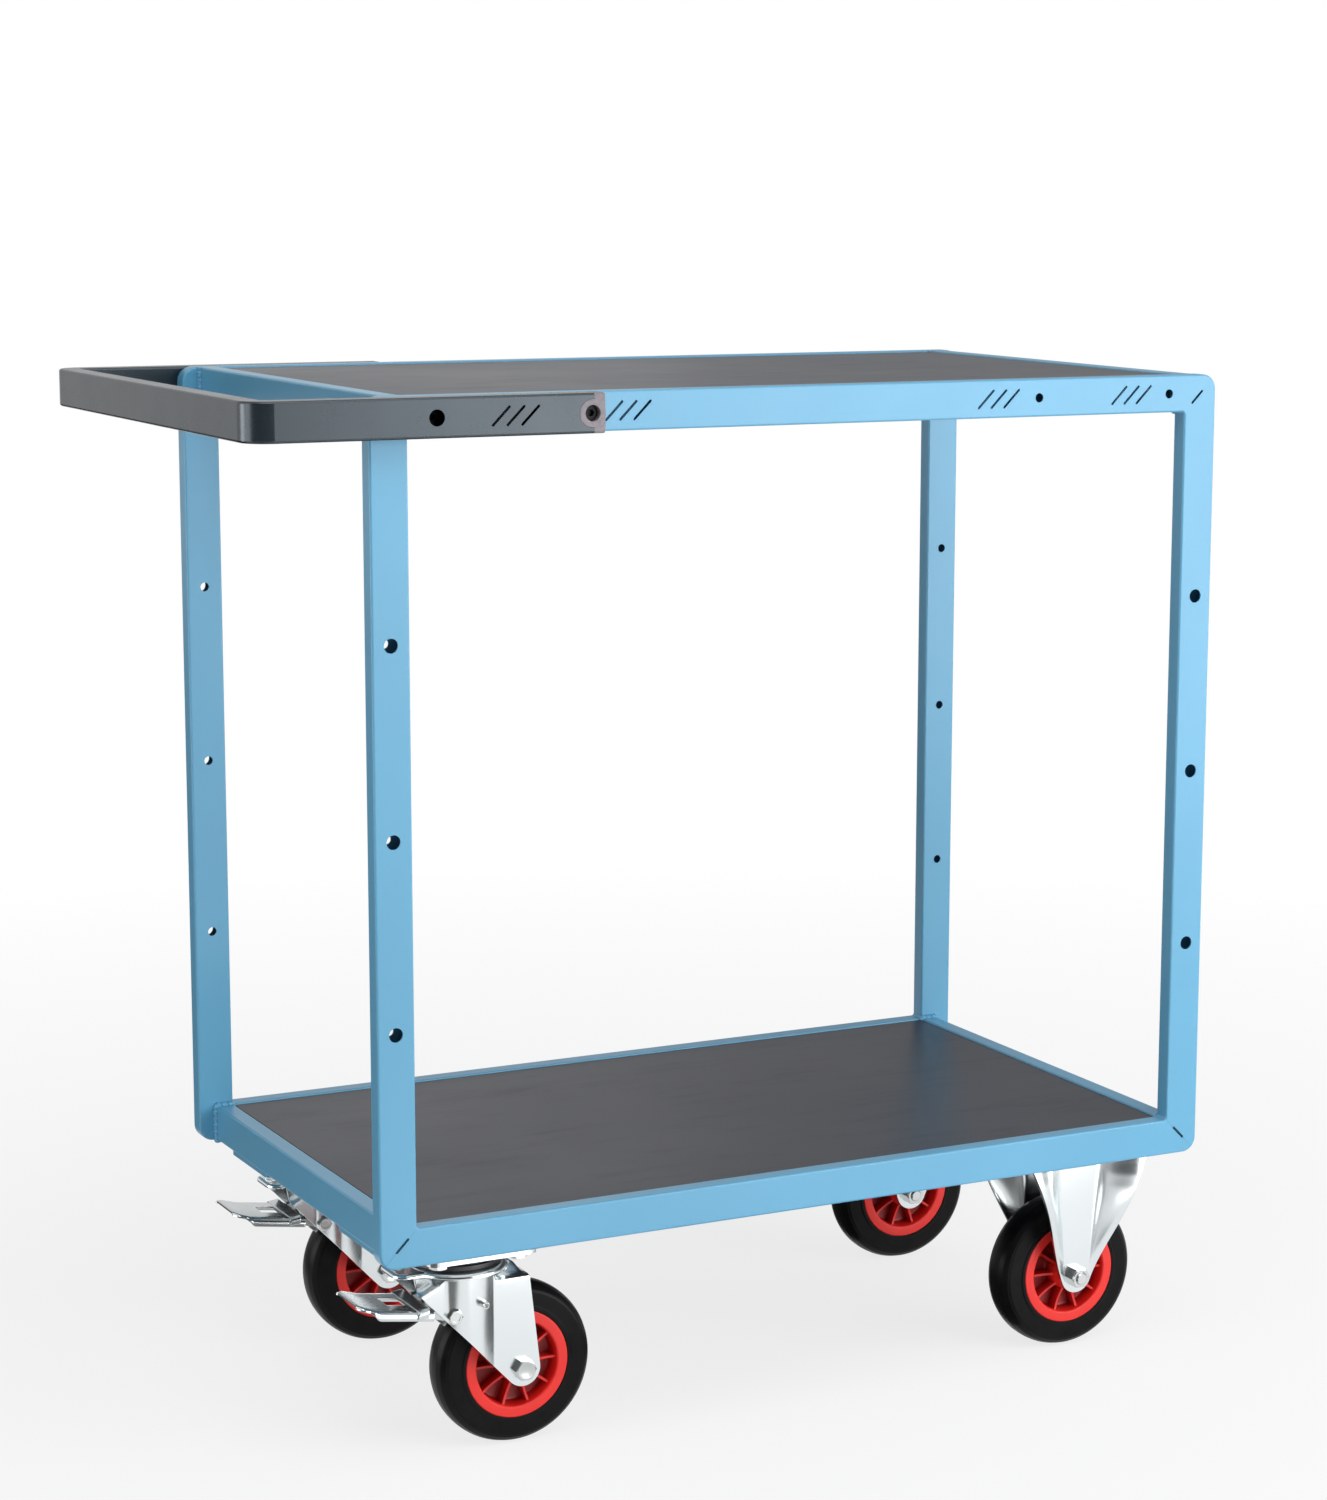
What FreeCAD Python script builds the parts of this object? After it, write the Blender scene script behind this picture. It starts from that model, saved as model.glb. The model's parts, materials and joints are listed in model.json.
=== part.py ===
"""Two-deck service cart with a push handle, two braked swivel casters and two fixed casters.

Sizes are in millimetres. +X is the direction of travel, +Z is up and z = 0 is the floor. The
origin lies on the floor under the middle of the cart's outline, handle included.
"""
import FreeCAD
import Part
import math
import os

V = FreeCAD.Vector

# Side frames and cross tubes, all of one rectangular tube
frame_length = 900.0
frame_width = 513.0
frame_height = 796.0
tube_face = 36.5
tube_depth = 18.5
tube_wall = 1.5
tube_edge = 2.0
corner_outside = 15.0
corner_inside = 3.0
joint_height = 160.5
joint_rise = 19.0

# Holes and slits in the side frames
leg_hole_pitch = 177.5
access_hole = 13.5
bolt_hole = 9.0
rail_hole_end = 55.5
rail_hole_pitch = 151.2
slit_width = 2.5
slit_run = 16.0
slit_pitch = 14.3
slit_group_ends = (252.5, 100.0)
corner_slit_start = 16.5
corner_slit_end = 27.5

# Decks
deck_thickness = 15.0
deck_drop = 1.5
deck_gap = 1.5
deck_corner = 3.0
ledge_width = 20.0
ledge_thickness = 4.0
ledge_end_gap = 15.0
screw_diameter = 5.0
screw_head = 10.0
screw_head_height = 2.8
screw_depth = 11.0
screws_per_ledge = 4

# Push handle
handle_overhang = 120.0
handle_depth = 22.0
handle_wall = 1.5
handle_edge = 2.5
handle_bend = 25.0
handle_access_hole = 15.0
cap_length = 11.5
cap_boss = 25.4
cap_gap = 0.3
cap_counterbore_depth = 13.0
cap_past_hole = 1.5
handle_bolt = 8.0
handle_bolt_head = 13.0
handle_bolt_grip = 8.0

# Caster plates and their bolts
mount_thickness = 5.0
mount_end_setback = 2.0
mount_side_setback = 15.5
mount_margin = 0.5
mount_clip = 46.0
mount_corner = 4.0
plate_length = 110.0
plate_width = 140.0
plate_thickness = 5.0
plate_corner = 10.0
plate_bolt_x = 80.0
plate_bolt_y = 105.0
plate_bolt = 10.0
plate_bolt_clearance = 0.5
plate_bolt_across = 17.0
plate_bolt_head = 6.4
plate_nut = 8.0
plate_nut_gap = 8.3
plate_bolt_end = 2.0

# Wheels
wheel_diameter = 160.0
tyre_width = 40.0
tyre_shoulder = 13.0
tyre_lip = 1.0
rim_diameter = 106.0
rim_ring = 11.0
rim_web = 5.0
rim_edge = 1.0
rim_fillet = 2.0
rim_ribs = 10
rib_thickness = 2.6
rib_recess = 5.0
hub_diameter = 36.0
hub_length = 60.0
hub_setback = 0.3
sleeve_diameter = 20.0
axle_diameter = 12.0
axle_across = 19.0
axle_head = 8.0
axle_nut = 10.0
axle_end = 2.0
nut_chamfer = 1.0
running_clearance = 0.05
side_clearance = 0.4

# Forks, swivel and brake
caster_head = 49.5
fork_sheet = 3.5
fork_boss = 17.5
fork_pad = 2.5
fork_pad_margin = 3.0
fork_pad_reach = 12.0
fork_pad_drop = 9.6
fork_corner = 4.0
fork_crease = 32.4
lip_reach = 34.0
lip_drop = 17.5
brow_reach = 13.0
brow_drop = 8.0
crown_reach = 4.0
rigid_length = 136.0
rigid_width = 110.0
rigid_bolt_x = 105.0
rigid_bolt_y = 70.0
rigid_corner = 6.0
rigid_strip_foot = 26.0
rigid_strip_top = 46.0
rigid_wing_curve = 0.66
rigid_levels = ((0.0, 0.0), (0.3, 8.4), (0.5, 18.0), (0.73, 24.0), (0.89, 25.0))
swivel_inset = 112.0
fixed_inset = 107.5
trail = 54.0
bearing_height = 18.9
bearing_clearance = 0.6
bearing_outside = 88.0
bearing_inside = 60.0
crown_disc = 96.0
tongue_reach = 70.0
tongue_width = 48.0
king_pin = 14.0
king_head = 26.0
king_head_height = 6.0
ear_drop = 12.5
ear_start = 27.0
ear_reach = 7.0
ear_slope = 13.0
pivot_angle = 138.7
pivot_above_tread = 15.9
stop_angle = 121.0
stop_above_tread = 5.6
pin_diameter = 8.0
stop_pin_diameter = 7.0
pin_head_across = 13.0
pin_head_height = 5.5
pin_rivet = 3.0
stop_pin_proud = 6.0
stop_pin_slot = 1.2
pedal_tilt = 8.4
pedal_length = 95.0
pedal_width = 64.0
pedal_sheet = 3.0
pedal_ear = 9.0
pedal_flange = 7.0
pedal_side_gap = 0.9
pedal_back = 12.0
pedal_neck = 10.0
pedal_corner = 2.0
nose_length = 15.0
nose_step = 4.0
nose_taper = 6.0
window_start = 19.0
window_length = 21.0
window_width = 22.0
strap_sheet = 2.0
strap_width = 11.0
strap_gap = 6.0
shoe_drop = 24.5
shoe_length = 10.5

# Derived places
wheel_radius = wheel_diameter / 2
caster_top = wheel_diameter + caster_head
frame_bottom = caster_top + mount_thickness
frame_top = frame_bottom + frame_height
middle_x = handle_overhang / 2
half_length = frame_length / 2
half_width = frame_width / 2
inner_half_length = half_length - tube_face
inner_half_width = half_width - tube_depth
rail_middle = frame_top - tube_face / 2
rail_hole_far = half_length - rail_hole_end
rail_hole_near = rail_hole_far - rail_hole_pitch
slit_groups = [half_length - end for end in slit_group_ends]
lower_deck_top = frame_bottom + tube_face - deck_drop
upper_deck_top = frame_top - deck_drop
fork_gap = hub_length + 2 * side_clearance
fork_half = fork_gap / 2 + fork_sheet
plate_bottom = caster_top - plate_thickness
crown_top = plate_bottom - bearing_clearance - bearing_height
crown_bottom = crown_top - fork_sheet
caster_track = 2 * (inner_half_width - plate_nut_gap) - plate_bolt_across - plate_bolt_y
swivel_x = middle_x - half_length + swivel_inset
fixed_x = middle_x + half_length - fixed_inset
swivel_pattern = (plate_length, plate_width, plate_bolt_x, plate_bolt_y)
rigid_pattern = (rigid_length, rigid_width, rigid_bolt_x, rigid_bolt_y)
sides = {"front": -1, "back": 1}


def placed(axis, u, v, level):
    """Point at level along the axis, with u and v along the other two axes in x, y, z order."""
    return {"x": V(level, u, v), "y": V(u, level, v), "z": V(u, v, level)}[axis]


def outline(points, axis, level):
    """Face bounded by straight sides with rounded corners; each point is (u, v, corner radius)."""
    edges = []
    starts = []
    ends = []
    arcs = []
    count = len(points)
    for i in range(count):
        u, v, radius = points[i]
        before = points[i - 1]
        after = points[(i + 1) % count]
        corner = V(u, v, 0)
        back = (V(before[0], before[1], 0) - corner).normalize()
        ahead = (V(after[0], after[1], 0) - corner).normalize()
        half = back.getAngle(ahead) / 2
        reach = radius / math.tan(half)
        starts.append(corner + back * reach)
        ends.append(corner + ahead * reach)
        inward = (back + ahead).normalize() if radius else V(0, 0, 0)
        arcs.append(corner + inward * (radius / math.sin(half) - radius))
    for i in range(count):
        if points[i][2]:
            three = [placed(axis, p.x, p.y, level) for p in (starts[i], arcs[i], ends[i])]
            edges.append(Part.Arc(*three).toShape())
        leave = ends[i]
        arrive = starts[(i + 1) % count]
        if leave.distanceToPoint(arrive) > 1e-6:
            edges.append(Part.makeLine(*[placed(axis, p.x, p.y, level) for p in (leave, arrive)]))
    return Part.Face(Part.Wire(edges))


def prism(points, axis, low, high):
    """Outline at low, carried straight along the axis to high."""
    return outline(points, axis, low).extrude(placed(axis, 0, 0, high - low))


def rectangle(u0, u1, v0, v1, radius=0.0):
    return [(u0, v0, radius), (u1, v0, radius), (u1, v1, radius), (u0, v1, radius)]


def hexagon(u, v, across):
    radius = across / math.sqrt(3)
    turns = [math.radians(60 * i) for i in range(6)]
    return [(u + radius * math.cos(a), v + radius * math.sin(a), 0.0) for a in turns]


def rod(axis, u, v, low, high, diameter):
    return Part.makeCylinder(diameter / 2, high - low, placed(axis, u, v, low), placed(axis, 0, 0, 1))


def spread(side, depth0, depth1):
    """Low and high y between two depths measured inward from a side frame's outer face."""
    ends = (side * (half_width - depth0), side * (half_width - depth1))
    return min(ends), max(ends)


def edges_at(shape, axis, level):
    """Edges that lie wholly in the plane at the level."""
    low, high = {"x": ("XMin", "XMax"), "y": ("YMin", "YMax"), "z": ("ZMin", "ZMax")}[axis]
    boxes = [(edge, edge.BoundBox) for edge in shape.Edges]
    return [e for e, b in boxes if max(abs(getattr(b, low) - level), abs(getattr(b, high) - level)) < 1e-3]


def ring(inset, low, high):
    """Closed band around a side frame's window, drawn in from the tube's faces by inset."""
    outer = rectangle(middle_x - half_length + inset, middle_x + half_length - inset,
                      frame_bottom + inset, frame_top - inset, corner_outside - inset)
    face = tube_face - inset
    window = rectangle(middle_x - inner_half_length - inset, middle_x + inner_half_length + inset,
                       frame_bottom + face, frame_top - face, corner_inside + inset)
    return prism(outer, "y", low, high).cut(prism(window, "y", low, high))


def slit(x, z, run, rise, low, high):
    """Round-ended slit from (x, z) over run and rise, cut from low to high along y."""
    length = math.hypot(run, rise)
    along = (run / length, rise / length)
    half = slit_width / 2
    corners = []
    for a, b in ((-half, -half), (length + half, -half), (length + half, half), (-half, half)):
        corners.append((x + along[0] * a - along[1] * b, z + along[1] * a + along[0] * b, half * 0.98))
    return prism(corners, "y", low, high)


def slit_group(x, low, high):
    """Three slanted slits about x, at the middle of the top rail."""
    first = x - slit_pitch - slit_run / 2
    bottom = rail_middle - slit_run / 2
    return [slit(first + i * slit_pitch, bottom, slit_run, slit_run, low, high) for i in range(3)]


def corner_slits(low, high):
    """One slit on the mitre line of each corner of a side frame."""
    run = corner_slit_end - corner_slit_start
    cuts = []
    for end in (-1, 1):
        x = middle_x + end * (half_length - corner_slit_start)
        cuts.append(slit(x, frame_bottom + corner_slit_start, -end * run, run, low, high))
        cuts.append(slit(x, frame_top - corner_slit_start, -end * run, -run, low, high))
    return cuts


def side_frame(side):
    """Upper and lower bow of one side frame, parted by a slanted joint across each leg."""
    low, high = spread(side, 0, tube_depth)
    frame = ring(0, low, high)
    frame = frame.makeFillet(tube_edge, edges_at(frame, "y", low) + edges_at(frame, "y", high))
    frame = frame.cut(ring(tube_wall, low + tube_wall, high - tube_wall))
    outer_wall = spread(side, -1, tube_wall + 1)
    inner_wall = spread(side, tube_depth - tube_wall - 1, tube_depth + 1)
    cuts = corner_slits(*outer_wall)
    for end in (-1, 1):
        leg_x = middle_x + end * (half_length - tube_face / 2)
        for step in (-1, 0, 1):
            z = frame_bottom + frame_height / 2 + step * leg_hole_pitch
            cuts.append(rod("y", leg_x, z, *outer_wall, access_hole))
            cuts.append(rod("y", leg_x, z, *inner_wall, bolt_hole))
        for x in (rail_hole_near, rail_hole_far):
            cuts.append(rod("y", middle_x + end * x, rail_middle, *outer_wall, bolt_hole))
        for x in slit_groups:
            cuts.extend(slit_group(middle_x + end * x, *outer_wall))
    frame = frame.cut(cuts)
    joint = frame_bottom + joint_height
    slope = joint_rise / tube_face
    left = middle_x - half_length
    right = middle_x + half_length
    spare = tube_face / 2
    rise = slope * 2 * spare
    below = [(left - spare, frame_bottom - spare, 0), (right + spare, frame_bottom - spare, 0),
             (right + spare, joint + rise, 0), (right - tube_face - spare, joint - rise, 0),
             (left + tube_face + spare, joint + rise, 0), (left - spare, joint - rise, 0)]
    lower_space = prism(below, "y", low - 1, high + 1)
    return frame.cut(lower_space), frame.common(lower_space)


def cross_tube(end, bottom):
    """Open tube between the side frames, flush with the inner edges of the legs."""
    inner = middle_x + end * inner_half_length
    low, high = sorted((inner, inner + end * tube_depth))
    wall = tube_wall
    section = rectangle(low, high, bottom, bottom + tube_face, tube_edge)
    solid = prism(section, "y", -inner_half_width, inner_half_width)
    hollow = rectangle(low + wall, high - wall, bottom + wall, bottom + tube_face - wall, tube_edge / 2)
    return solid.cut(prism(hollow, "y", -half_width, half_width))


def ledge_y(side):
    """Middle of a ledge, measured across the cart."""
    return side * (inner_half_width - ledge_width / 2)


def screw_places():
    """Screw positions along the cart, evenly spread between the ledge's ends."""
    reach = inner_half_length - ledge_end_gap
    step = 2 * reach / screws_per_ledge
    return [middle_x - reach + step * (i + 0.5) for i in range(screws_per_ledge)]


def deck(top):
    """Board inside the tubes, with blind holes for the screws in its underside."""
    bottom = top - deck_thickness
    reach_x = inner_half_length - deck_gap
    reach_y = inner_half_width - deck_gap
    plan = rectangle(middle_x - reach_x, middle_x + reach_x, -reach_y, reach_y, deck_corner)
    board = prism(plan, "z", bottom, top)
    holes = []
    for side in sides.values():
        for x in screw_places():
            holes.append(rod("z", x, ledge_y(side), bottom - 1, bottom + screw_depth, screw_diameter))
    return board.cut(holes)


def ledge(side, top):
    """Flat bar on the inner face of a rail, under the edge of a deck."""
    reach = inner_half_length - ledge_end_gap
    low, high = spread(side, tube_depth, tube_depth + ledge_width)
    bottom = top - ledge_thickness
    bar = prism(rectangle(middle_x - reach, middle_x + reach, low, high), "z", bottom, top)
    holes = [rod("z", x, ledge_y(side), bottom - 1, top + 1, screw_diameter) for x in screw_places()]
    return bar.cut(holes)


def deck_screw(x, y, ledge_top):
    under = ledge_top - ledge_thickness
    head = rod("z", x, y, under - screw_head_height, under, screw_head)
    head = head.makeFillet(screw_head_height * 0.6, edges_at(head, "z", under - screw_head_height))
    return head.fuse(rod("z", x, y, under - 0.5, ledge_top + screw_depth, screw_diameter)).removeSplitter()


def caster_places():
    """Plate centres of the casters with their plate patterns, by name."""
    places = {}
    for name, side in sides.items():
        places["push_" + name] = (swivel_x, side * caster_track / 2, swivel_pattern)
        places["lead_" + name] = (fixed_x, side * caster_track / 2, rigid_pattern)
    return places


def plate_bolt_places(x, y, pattern):
    along, across = pattern[2:]
    return [(x + a * along / 2, y + b * across / 2) for a in (-1, 1) for b in (-1, 1)]


def plate_holes(x, y, pattern, low, high):
    diameter = plate_bolt + 2 * plate_bolt_clearance
    return [rod("z", u, v, low - 1, high + 1, diameter) for u, v in plate_bolt_places(x, y, pattern)]


def mount_plate(x, y, pattern):
    """Flat plate under a corner of the frame, its outer corner clipped."""
    end = 1 if x > middle_x else -1
    side = 1 if y > 0 else -1
    length, width = pattern[:2]
    outer_x = middle_x + end * (inner_half_length + tube_depth - mount_end_setback)
    inner_x = x - end * (length / 2 + mount_margin)
    outer_y = side * (half_width - mount_side_setback)
    inner_y = y - side * (width / 2 + mount_margin)
    corners = [(inner_x, inner_y), (outer_x, inner_y), (outer_x, outer_y - side * mount_clip),
               (outer_x - end * mount_clip, outer_y), (inner_x, outer_y)]
    plate = prism([(u, v, mount_corner) for u, v in corners], "z", caster_top, frame_bottom)
    return plate.cut(plate_holes(x, y, pattern, caster_top, frame_bottom))


def plate_bolt_solid(x, y):
    head = prism(hexagon(x, y, plate_bolt_across), "z", plate_bottom - plate_bolt_head, plate_bottom)
    shank = rod("z", x, y, plate_bottom - 1, frame_bottom + plate_nut + plate_bolt_end, plate_bolt)
    return head.fuse(shank).removeSplitter()


def plate_nut_solid(x, y):
    nut = prism(hexagon(x, y, plate_bolt_across), "z", frame_bottom, frame_bottom + plate_nut)
    return nut.cut(rod("z", x, y, frame_bottom - 1, frame_bottom + plate_nut + 1, plate_bolt))


def handle_band(inset, arm_end):
    """Bent tube of the handle in plan, drawn in from its faces by inset."""
    outer_x = middle_x - half_length - handle_overhang + inset
    inner_x = outer_x + handle_depth - 2 * inset
    outer_y = half_width + handle_depth - inset
    inner_y = half_width + inset
    outside = handle_bend - inset
    inside = handle_bend - handle_depth + inset
    points = [(arm_end, -outer_y, 0), (arm_end, -inner_y, 0),
              (inner_x, -inner_y, inside), (inner_x, inner_y, inside),
              (arm_end, inner_y, 0), (arm_end, outer_y, 0),
              (outer_x, outer_y, outside), (outer_x, -outer_y, outside)]
    return prism(points, "z", frame_top - tube_face + inset, frame_top - inset)


def arm_end_x():
    """End of the handle's arms, just past the nearer bolt."""
    return middle_x - rail_hole_near + cap_past_hole


def push_handle():
    """U-shaped tube along both top rails, with access holes for its bolts."""
    handle = handle_band(0, arm_end_x())
    rims = edges_at(handle, "z", frame_top) + edges_at(handle, "z", frame_top - tube_face)
    handle = handle.makeFillet(handle_edge, [e for e in rims if e.BoundBox.XMin < arm_end_x() - 1])
    cuts = [handle_band(handle_wall, arm_end_x() + 1)]
    for side in sides.values():
        outer = spread(side, -handle_depth - 1, -handle_depth + handle_wall + 1)
        inner = spread(side, -handle_wall - 1, 1)
        cuts.append(rod("y", middle_x - rail_hole_far, rail_middle, *outer, handle_access_hole))
        cuts.append(rod("y", middle_x - rail_hole_near, rail_middle, *outer, cap_boss + 2 * cap_gap))
        for x in (rail_hole_far, rail_hole_near):
            cuts.append(rod("y", middle_x - x, rail_middle, *inner, bolt_hole))
        cuts.extend(slit_group(middle_x - (rail_hole_far + rail_hole_near) / 2, *outer))
    return handle.cut(cuts)


def handle_cap(side):
    """End cap of an arm, with a round boss that lets the nearer bolt through."""
    start = arm_end_x()
    low, high = spread(side, -handle_depth, 0)
    section = rectangle(low, high, frame_top - tube_face, frame_top, handle_edge)
    block = prism(section, "x", start, start + cap_length)
    block = block.makeFillet(handle_edge * 0.9, edges_at(block, "x", start + cap_length))
    x = middle_x - rail_hole_near
    boss = rod("y", x, rail_middle, *spread(side, -handle_depth, -handle_wall), cap_boss)
    cap = block.fuse(boss).removeSplitter()
    wide = spread(side, -handle_depth - 1, -handle_depth + cap_counterbore_depth)
    narrow = spread(side, -handle_depth, 0)
    return cap.cut([rod("y", x, rail_middle, *wide, handle_access_hole),
                    rod("y", x, rail_middle, *narrow, bolt_hole)])


def handle_bolt_solid(side, x, seat):
    """Cap screw whose head rests at the seat, a depth outside the rail's face."""
    tip = tube_wall + handle_bolt_grip
    head = rod("y", x, rail_middle, *spread(side, -seat - handle_bolt, -seat), handle_bolt_head)
    key = spread(side, -seat - handle_bolt - 1, -seat - handle_bolt / 2)
    socket = prism(hexagon(x, rail_middle, handle_bolt * 0.75), "y", *key)
    shank = rod("y", x, rail_middle, *spread(side, -seat - 1, tip), handle_bolt)
    return head.fuse(shank).removeSplitter().cut(socket)


def handle_bolts():
    bolts = []
    for side in sides.values():
        bolts.append(handle_bolt_solid(side, middle_x - rail_hole_far, handle_wall))
        seat = handle_depth - cap_counterbore_depth
        bolts.append(handle_bolt_solid(side, middle_x - rail_hole_near, seat))
    return bolts


def turned(points):
    """Solid of revolution about the y axis; each point is (radius, y, corner radius)."""
    return outline(points, "z", 0).revolve(V(0, 0, 0), V(0, 1, 0), 360)


def tyre():
    half = tyre_width / 2
    seat = rim_diameter / 2
    return turned([(seat, -half, tyre_lip), (wheel_radius, -half, tyre_shoulder),
                   (wheel_radius, half, tyre_shoulder), (seat, half, tyre_lip)])


def rim():
    """Moulded wheel centre: ring, web, hub and ribs on both sides of the web."""
    half = tyre_width / 2
    outside = rim_diameter / 2
    inside = outside - rim_ring
    hub = hub_diameter / 2
    bore = sleeve_diameter / 2
    web = rim_web / 2
    length = hub_length / 2 - hub_setback
    lower = [(bore, -length, 0), (hub, -length, rim_edge), (hub, -web, rim_fillet),
             (inside, -web, rim_fillet), (inside, -half, rim_edge), (outside, -half, 0)]
    body = turned(lower + [(r, -y, c) for r, y, c in reversed(lower)])
    reach = half - rib_recess
    start = (hub + bore) / 2
    stop = inside + rim_ring / 2
    rib = prism(rectangle(start, stop, -reach, reach), "z", -rib_thickness / 2, rib_thickness / 2)
    ribs = []
    for i in range(rim_ribs):
        one = rib.copy()
        one.rotate(V(0, 0, 0), V(0, 1, 0), 360.0 * i / rim_ribs)
        ribs.append(one)
    return body.fuse(ribs).removeSplitter()


def sleeve():
    half = hub_length / 2
    bore = axle_diameter + 2 * running_clearance
    return rod("y", 0, 0, -half, half, sleeve_diameter).cut(rod("y", 0, 0, -half - 1, half + 1, bore))


def axle_bolt(facing):
    """Hexagon bolt across a fork; its head looks to the sign facing."""
    span = sorted((facing * fork_half, facing * (fork_half + axle_head)))
    head = prism(hexagon(0, 0, axle_across), "y", *span)
    ends = sorted((facing * (fork_half + 1), -facing * (fork_half + axle_nut + axle_end)))
    return head.fuse(rod("y", 0, 0, *ends, axle_diameter)).removeSplitter()


def axle_nut_solid(facing):
    span = sorted((facing * fork_half, facing * (fork_half + axle_nut)))
    nut = prism(hexagon(0, 0, axle_across), "y", *span)
    nut = nut.makeChamfer(nut_chamfer, edges_at(nut, "y", facing * (fork_half + axle_nut)))
    return nut.cut(rod("y", 0, 0, span[0] - 1, span[1] + 1, axle_diameter))


def tangent(u, v, cu, cv, radius, turn):
    """Point where a line from (u, v) touches the circle about (cu, cv), on the side given by turn."""
    distance = math.hypot(u - cu, v - cv)
    angle = math.atan2(v - cv, u - cu) + turn * math.acos(radius / distance)
    return cu + radius * math.cos(angle), cv + radius * math.sin(angle)


def leg_outline(shoulders, axle_x, axle_z):
    """Fork leg: straight sides from its shoulders down to the round boss at the axle."""
    first = tangent(*shoulders[-1][:2], axle_x, axle_z, fork_boss, -1)
    last = tangent(*shoulders[0][:2], axle_x, axle_z, fork_boss, 1)
    return shoulders + [(*first, 0), (axle_x, axle_z - fork_boss * 0.95, 0), (*last, 0)]


def legs(shoulders, axle_x, axle_z, pad):
    """Both legs of a fork, each with a raised pad on its outside."""
    solids = []
    for side in sides.values():
        inner = side * fork_gap / 2
        outer = side * fork_half
        proud = side * (fork_half + fork_pad)
        leg = prism(leg_outline(shoulders, axle_x, axle_z), "y", *sorted((inner, outer)))
        boss = rod("y", axle_x, axle_z, *sorted((inner, outer)), 2 * fork_boss)
        raised = prism(pad, "y", *sorted((inner + side * fork_sheet / 2, proud)))
        raised = raised.makeFillet(fork_pad * 0.8, edges_at(raised, "y", proud))
        solids.append(leg.fuse([boss, raised]).removeSplitter())
    return solids


def pivot_place(angle, above):
    """Place of a cross pin in the swivel fork, from the tread of its wheel."""
    reach = wheel_radius + above
    turn = math.radians(angle)
    return trail + reach * math.cos(turn), wheel_radius + reach * math.sin(turn)


def swivel_plate():
    half_x = plate_length / 2
    half_y = plate_width / 2
    plate = prism(rectangle(-half_x, half_x, -half_y, half_y, plate_corner), "z", plate_bottom, caster_top)
    middle_hole = rod("z", 0, 0, plate_bottom - 1, caster_top + 1, king_pin)
    return plate.cut(plate_holes(0, 0, swivel_pattern, plate_bottom, caster_top) + [middle_hole])


def king_pin_solid():
    head_top = crown_bottom - side_clearance
    head = rod("z", 0, 0, head_top - king_head_height, head_top, king_head)
    head = head.makeFillet(king_head_height / 2, edges_at(head, "z", head_top - king_head_height))
    return head.fuse(rod("z", 0, 0, head_top - 1, caster_top, king_pin)).removeSplitter()


def bearing_ring():
    top = crown_top + bearing_height
    ring_solid = rod("z", 0, 0, crown_top, top, bearing_outside)
    ring_solid = ring_solid.makeFillet(bearing_height * 0.2, edges_at(ring_solid, "z", top))
    return ring_solid.cut(rod("z", 0, 0, crown_top - 1, caster_top, bearing_inside))


def crown_crest():
    """Stations along the swivel fork's crown: x, height of its side edges and height of its middle."""
    pivot_x = pivot_place(pivot_angle, pivot_above_tread)[0]
    ear_top = crown_top - ear_drop
    ear_end = trail + ear_reach
    return [(pivot_x - lip_reach, crown_top - lip_drop, crown_top),
            (pivot_x - brow_reach, crown_top - brow_drop, crown_top),
            (pivot_x - crown_reach, crown_top, crown_top),
            (trail - fork_crease, crown_top, crown_top),
            (trail - ear_start, ear_top, crown_top),
            (ear_end - ear_slope, ear_top, crown_top),
            (ear_end, ear_top, ear_top)]


def fork_crown(crest):
    """Pressed crown: a middle as wide as the tongue, sloping down to the top edges of both legs."""
    flat = tongue_width / 2
    sections = []
    for x, edge, middle in crest:
        upper = [(-fork_half, edge), (-flat, middle), (flat, middle), (fork_half, edge)]
        lower = [(y, z - fork_sheet) for y, z in reversed(upper)]
        sections.append(Part.makePolygon([V(x, y, z) for y, z in upper + lower + upper[:1]]))
    return Part.makeLoft(sections, True, True)


def leg_pad(lip):
    """Raised pad of a swivel fork's leg, along its lower edge from under the lip to the crease."""
    foot = tangent(*lip, trail, wheel_radius, fork_boss, 1)
    slope = (foot[1] - lip[1]) / (foot[0] - lip[0])
    start = pivot_place(pivot_angle, pivot_above_tread)[0] - fork_pad_reach
    crease = trail - fork_crease
    top = crown_top - fork_pad_drop
    margin = fork_pad_margin
    low_start = lip[1] + slope * (start - lip[0]) + margin
    low_end = lip[1] + slope * (crease - lip[0]) + margin
    return [(start, low_start, margin), (start, top, margin), (crease, top, margin), (crease, low_end, margin)]


def swivel_fork():
    """Pressed fork: crown with a tongue, a lip over the pedal, an ear at the back and two dished legs."""
    pivot = pivot_place(pivot_angle, pivot_above_tread)
    stop = pivot_place(stop_angle, stop_above_tread)
    crest = crown_crest()
    lip = crest[0][:2]
    shoulders = [(*lip, fork_corner)] + [(x, edge, 0) for x, edge, middle in crest[1:]]
    fork = fork_crown(crest).fuse(legs(shoulders, trail, wheel_radius, leg_pad(lip))).removeSplitter()
    disc = rod("z", 0, 0, crown_bottom, crown_top, crown_disc)
    half_tongue = tongue_width / 2
    plan = rectangle(-tongue_reach, 0, -half_tongue, half_tongue, half_tongue / 2)
    tongue = prism(plan, "z", crown_bottom, crown_top)
    fork = fork.fuse([disc, tongue]).removeSplitter()
    bore = king_pin + 2 * running_clearance
    reach = fork_half + fork_pad + 1
    return fork.cut([rod("z", 0, 0, crown_bottom - 1, crown_top + 1, bore),
                     rod("y", trail, wheel_radius, -reach, reach, axle_diameter),
                     rod("y", pivot[0], pivot[1], -reach, reach, pin_diameter),
                     rod("y", stop[0], stop[1], -reach, reach, stop_pin_diameter)])


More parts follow.
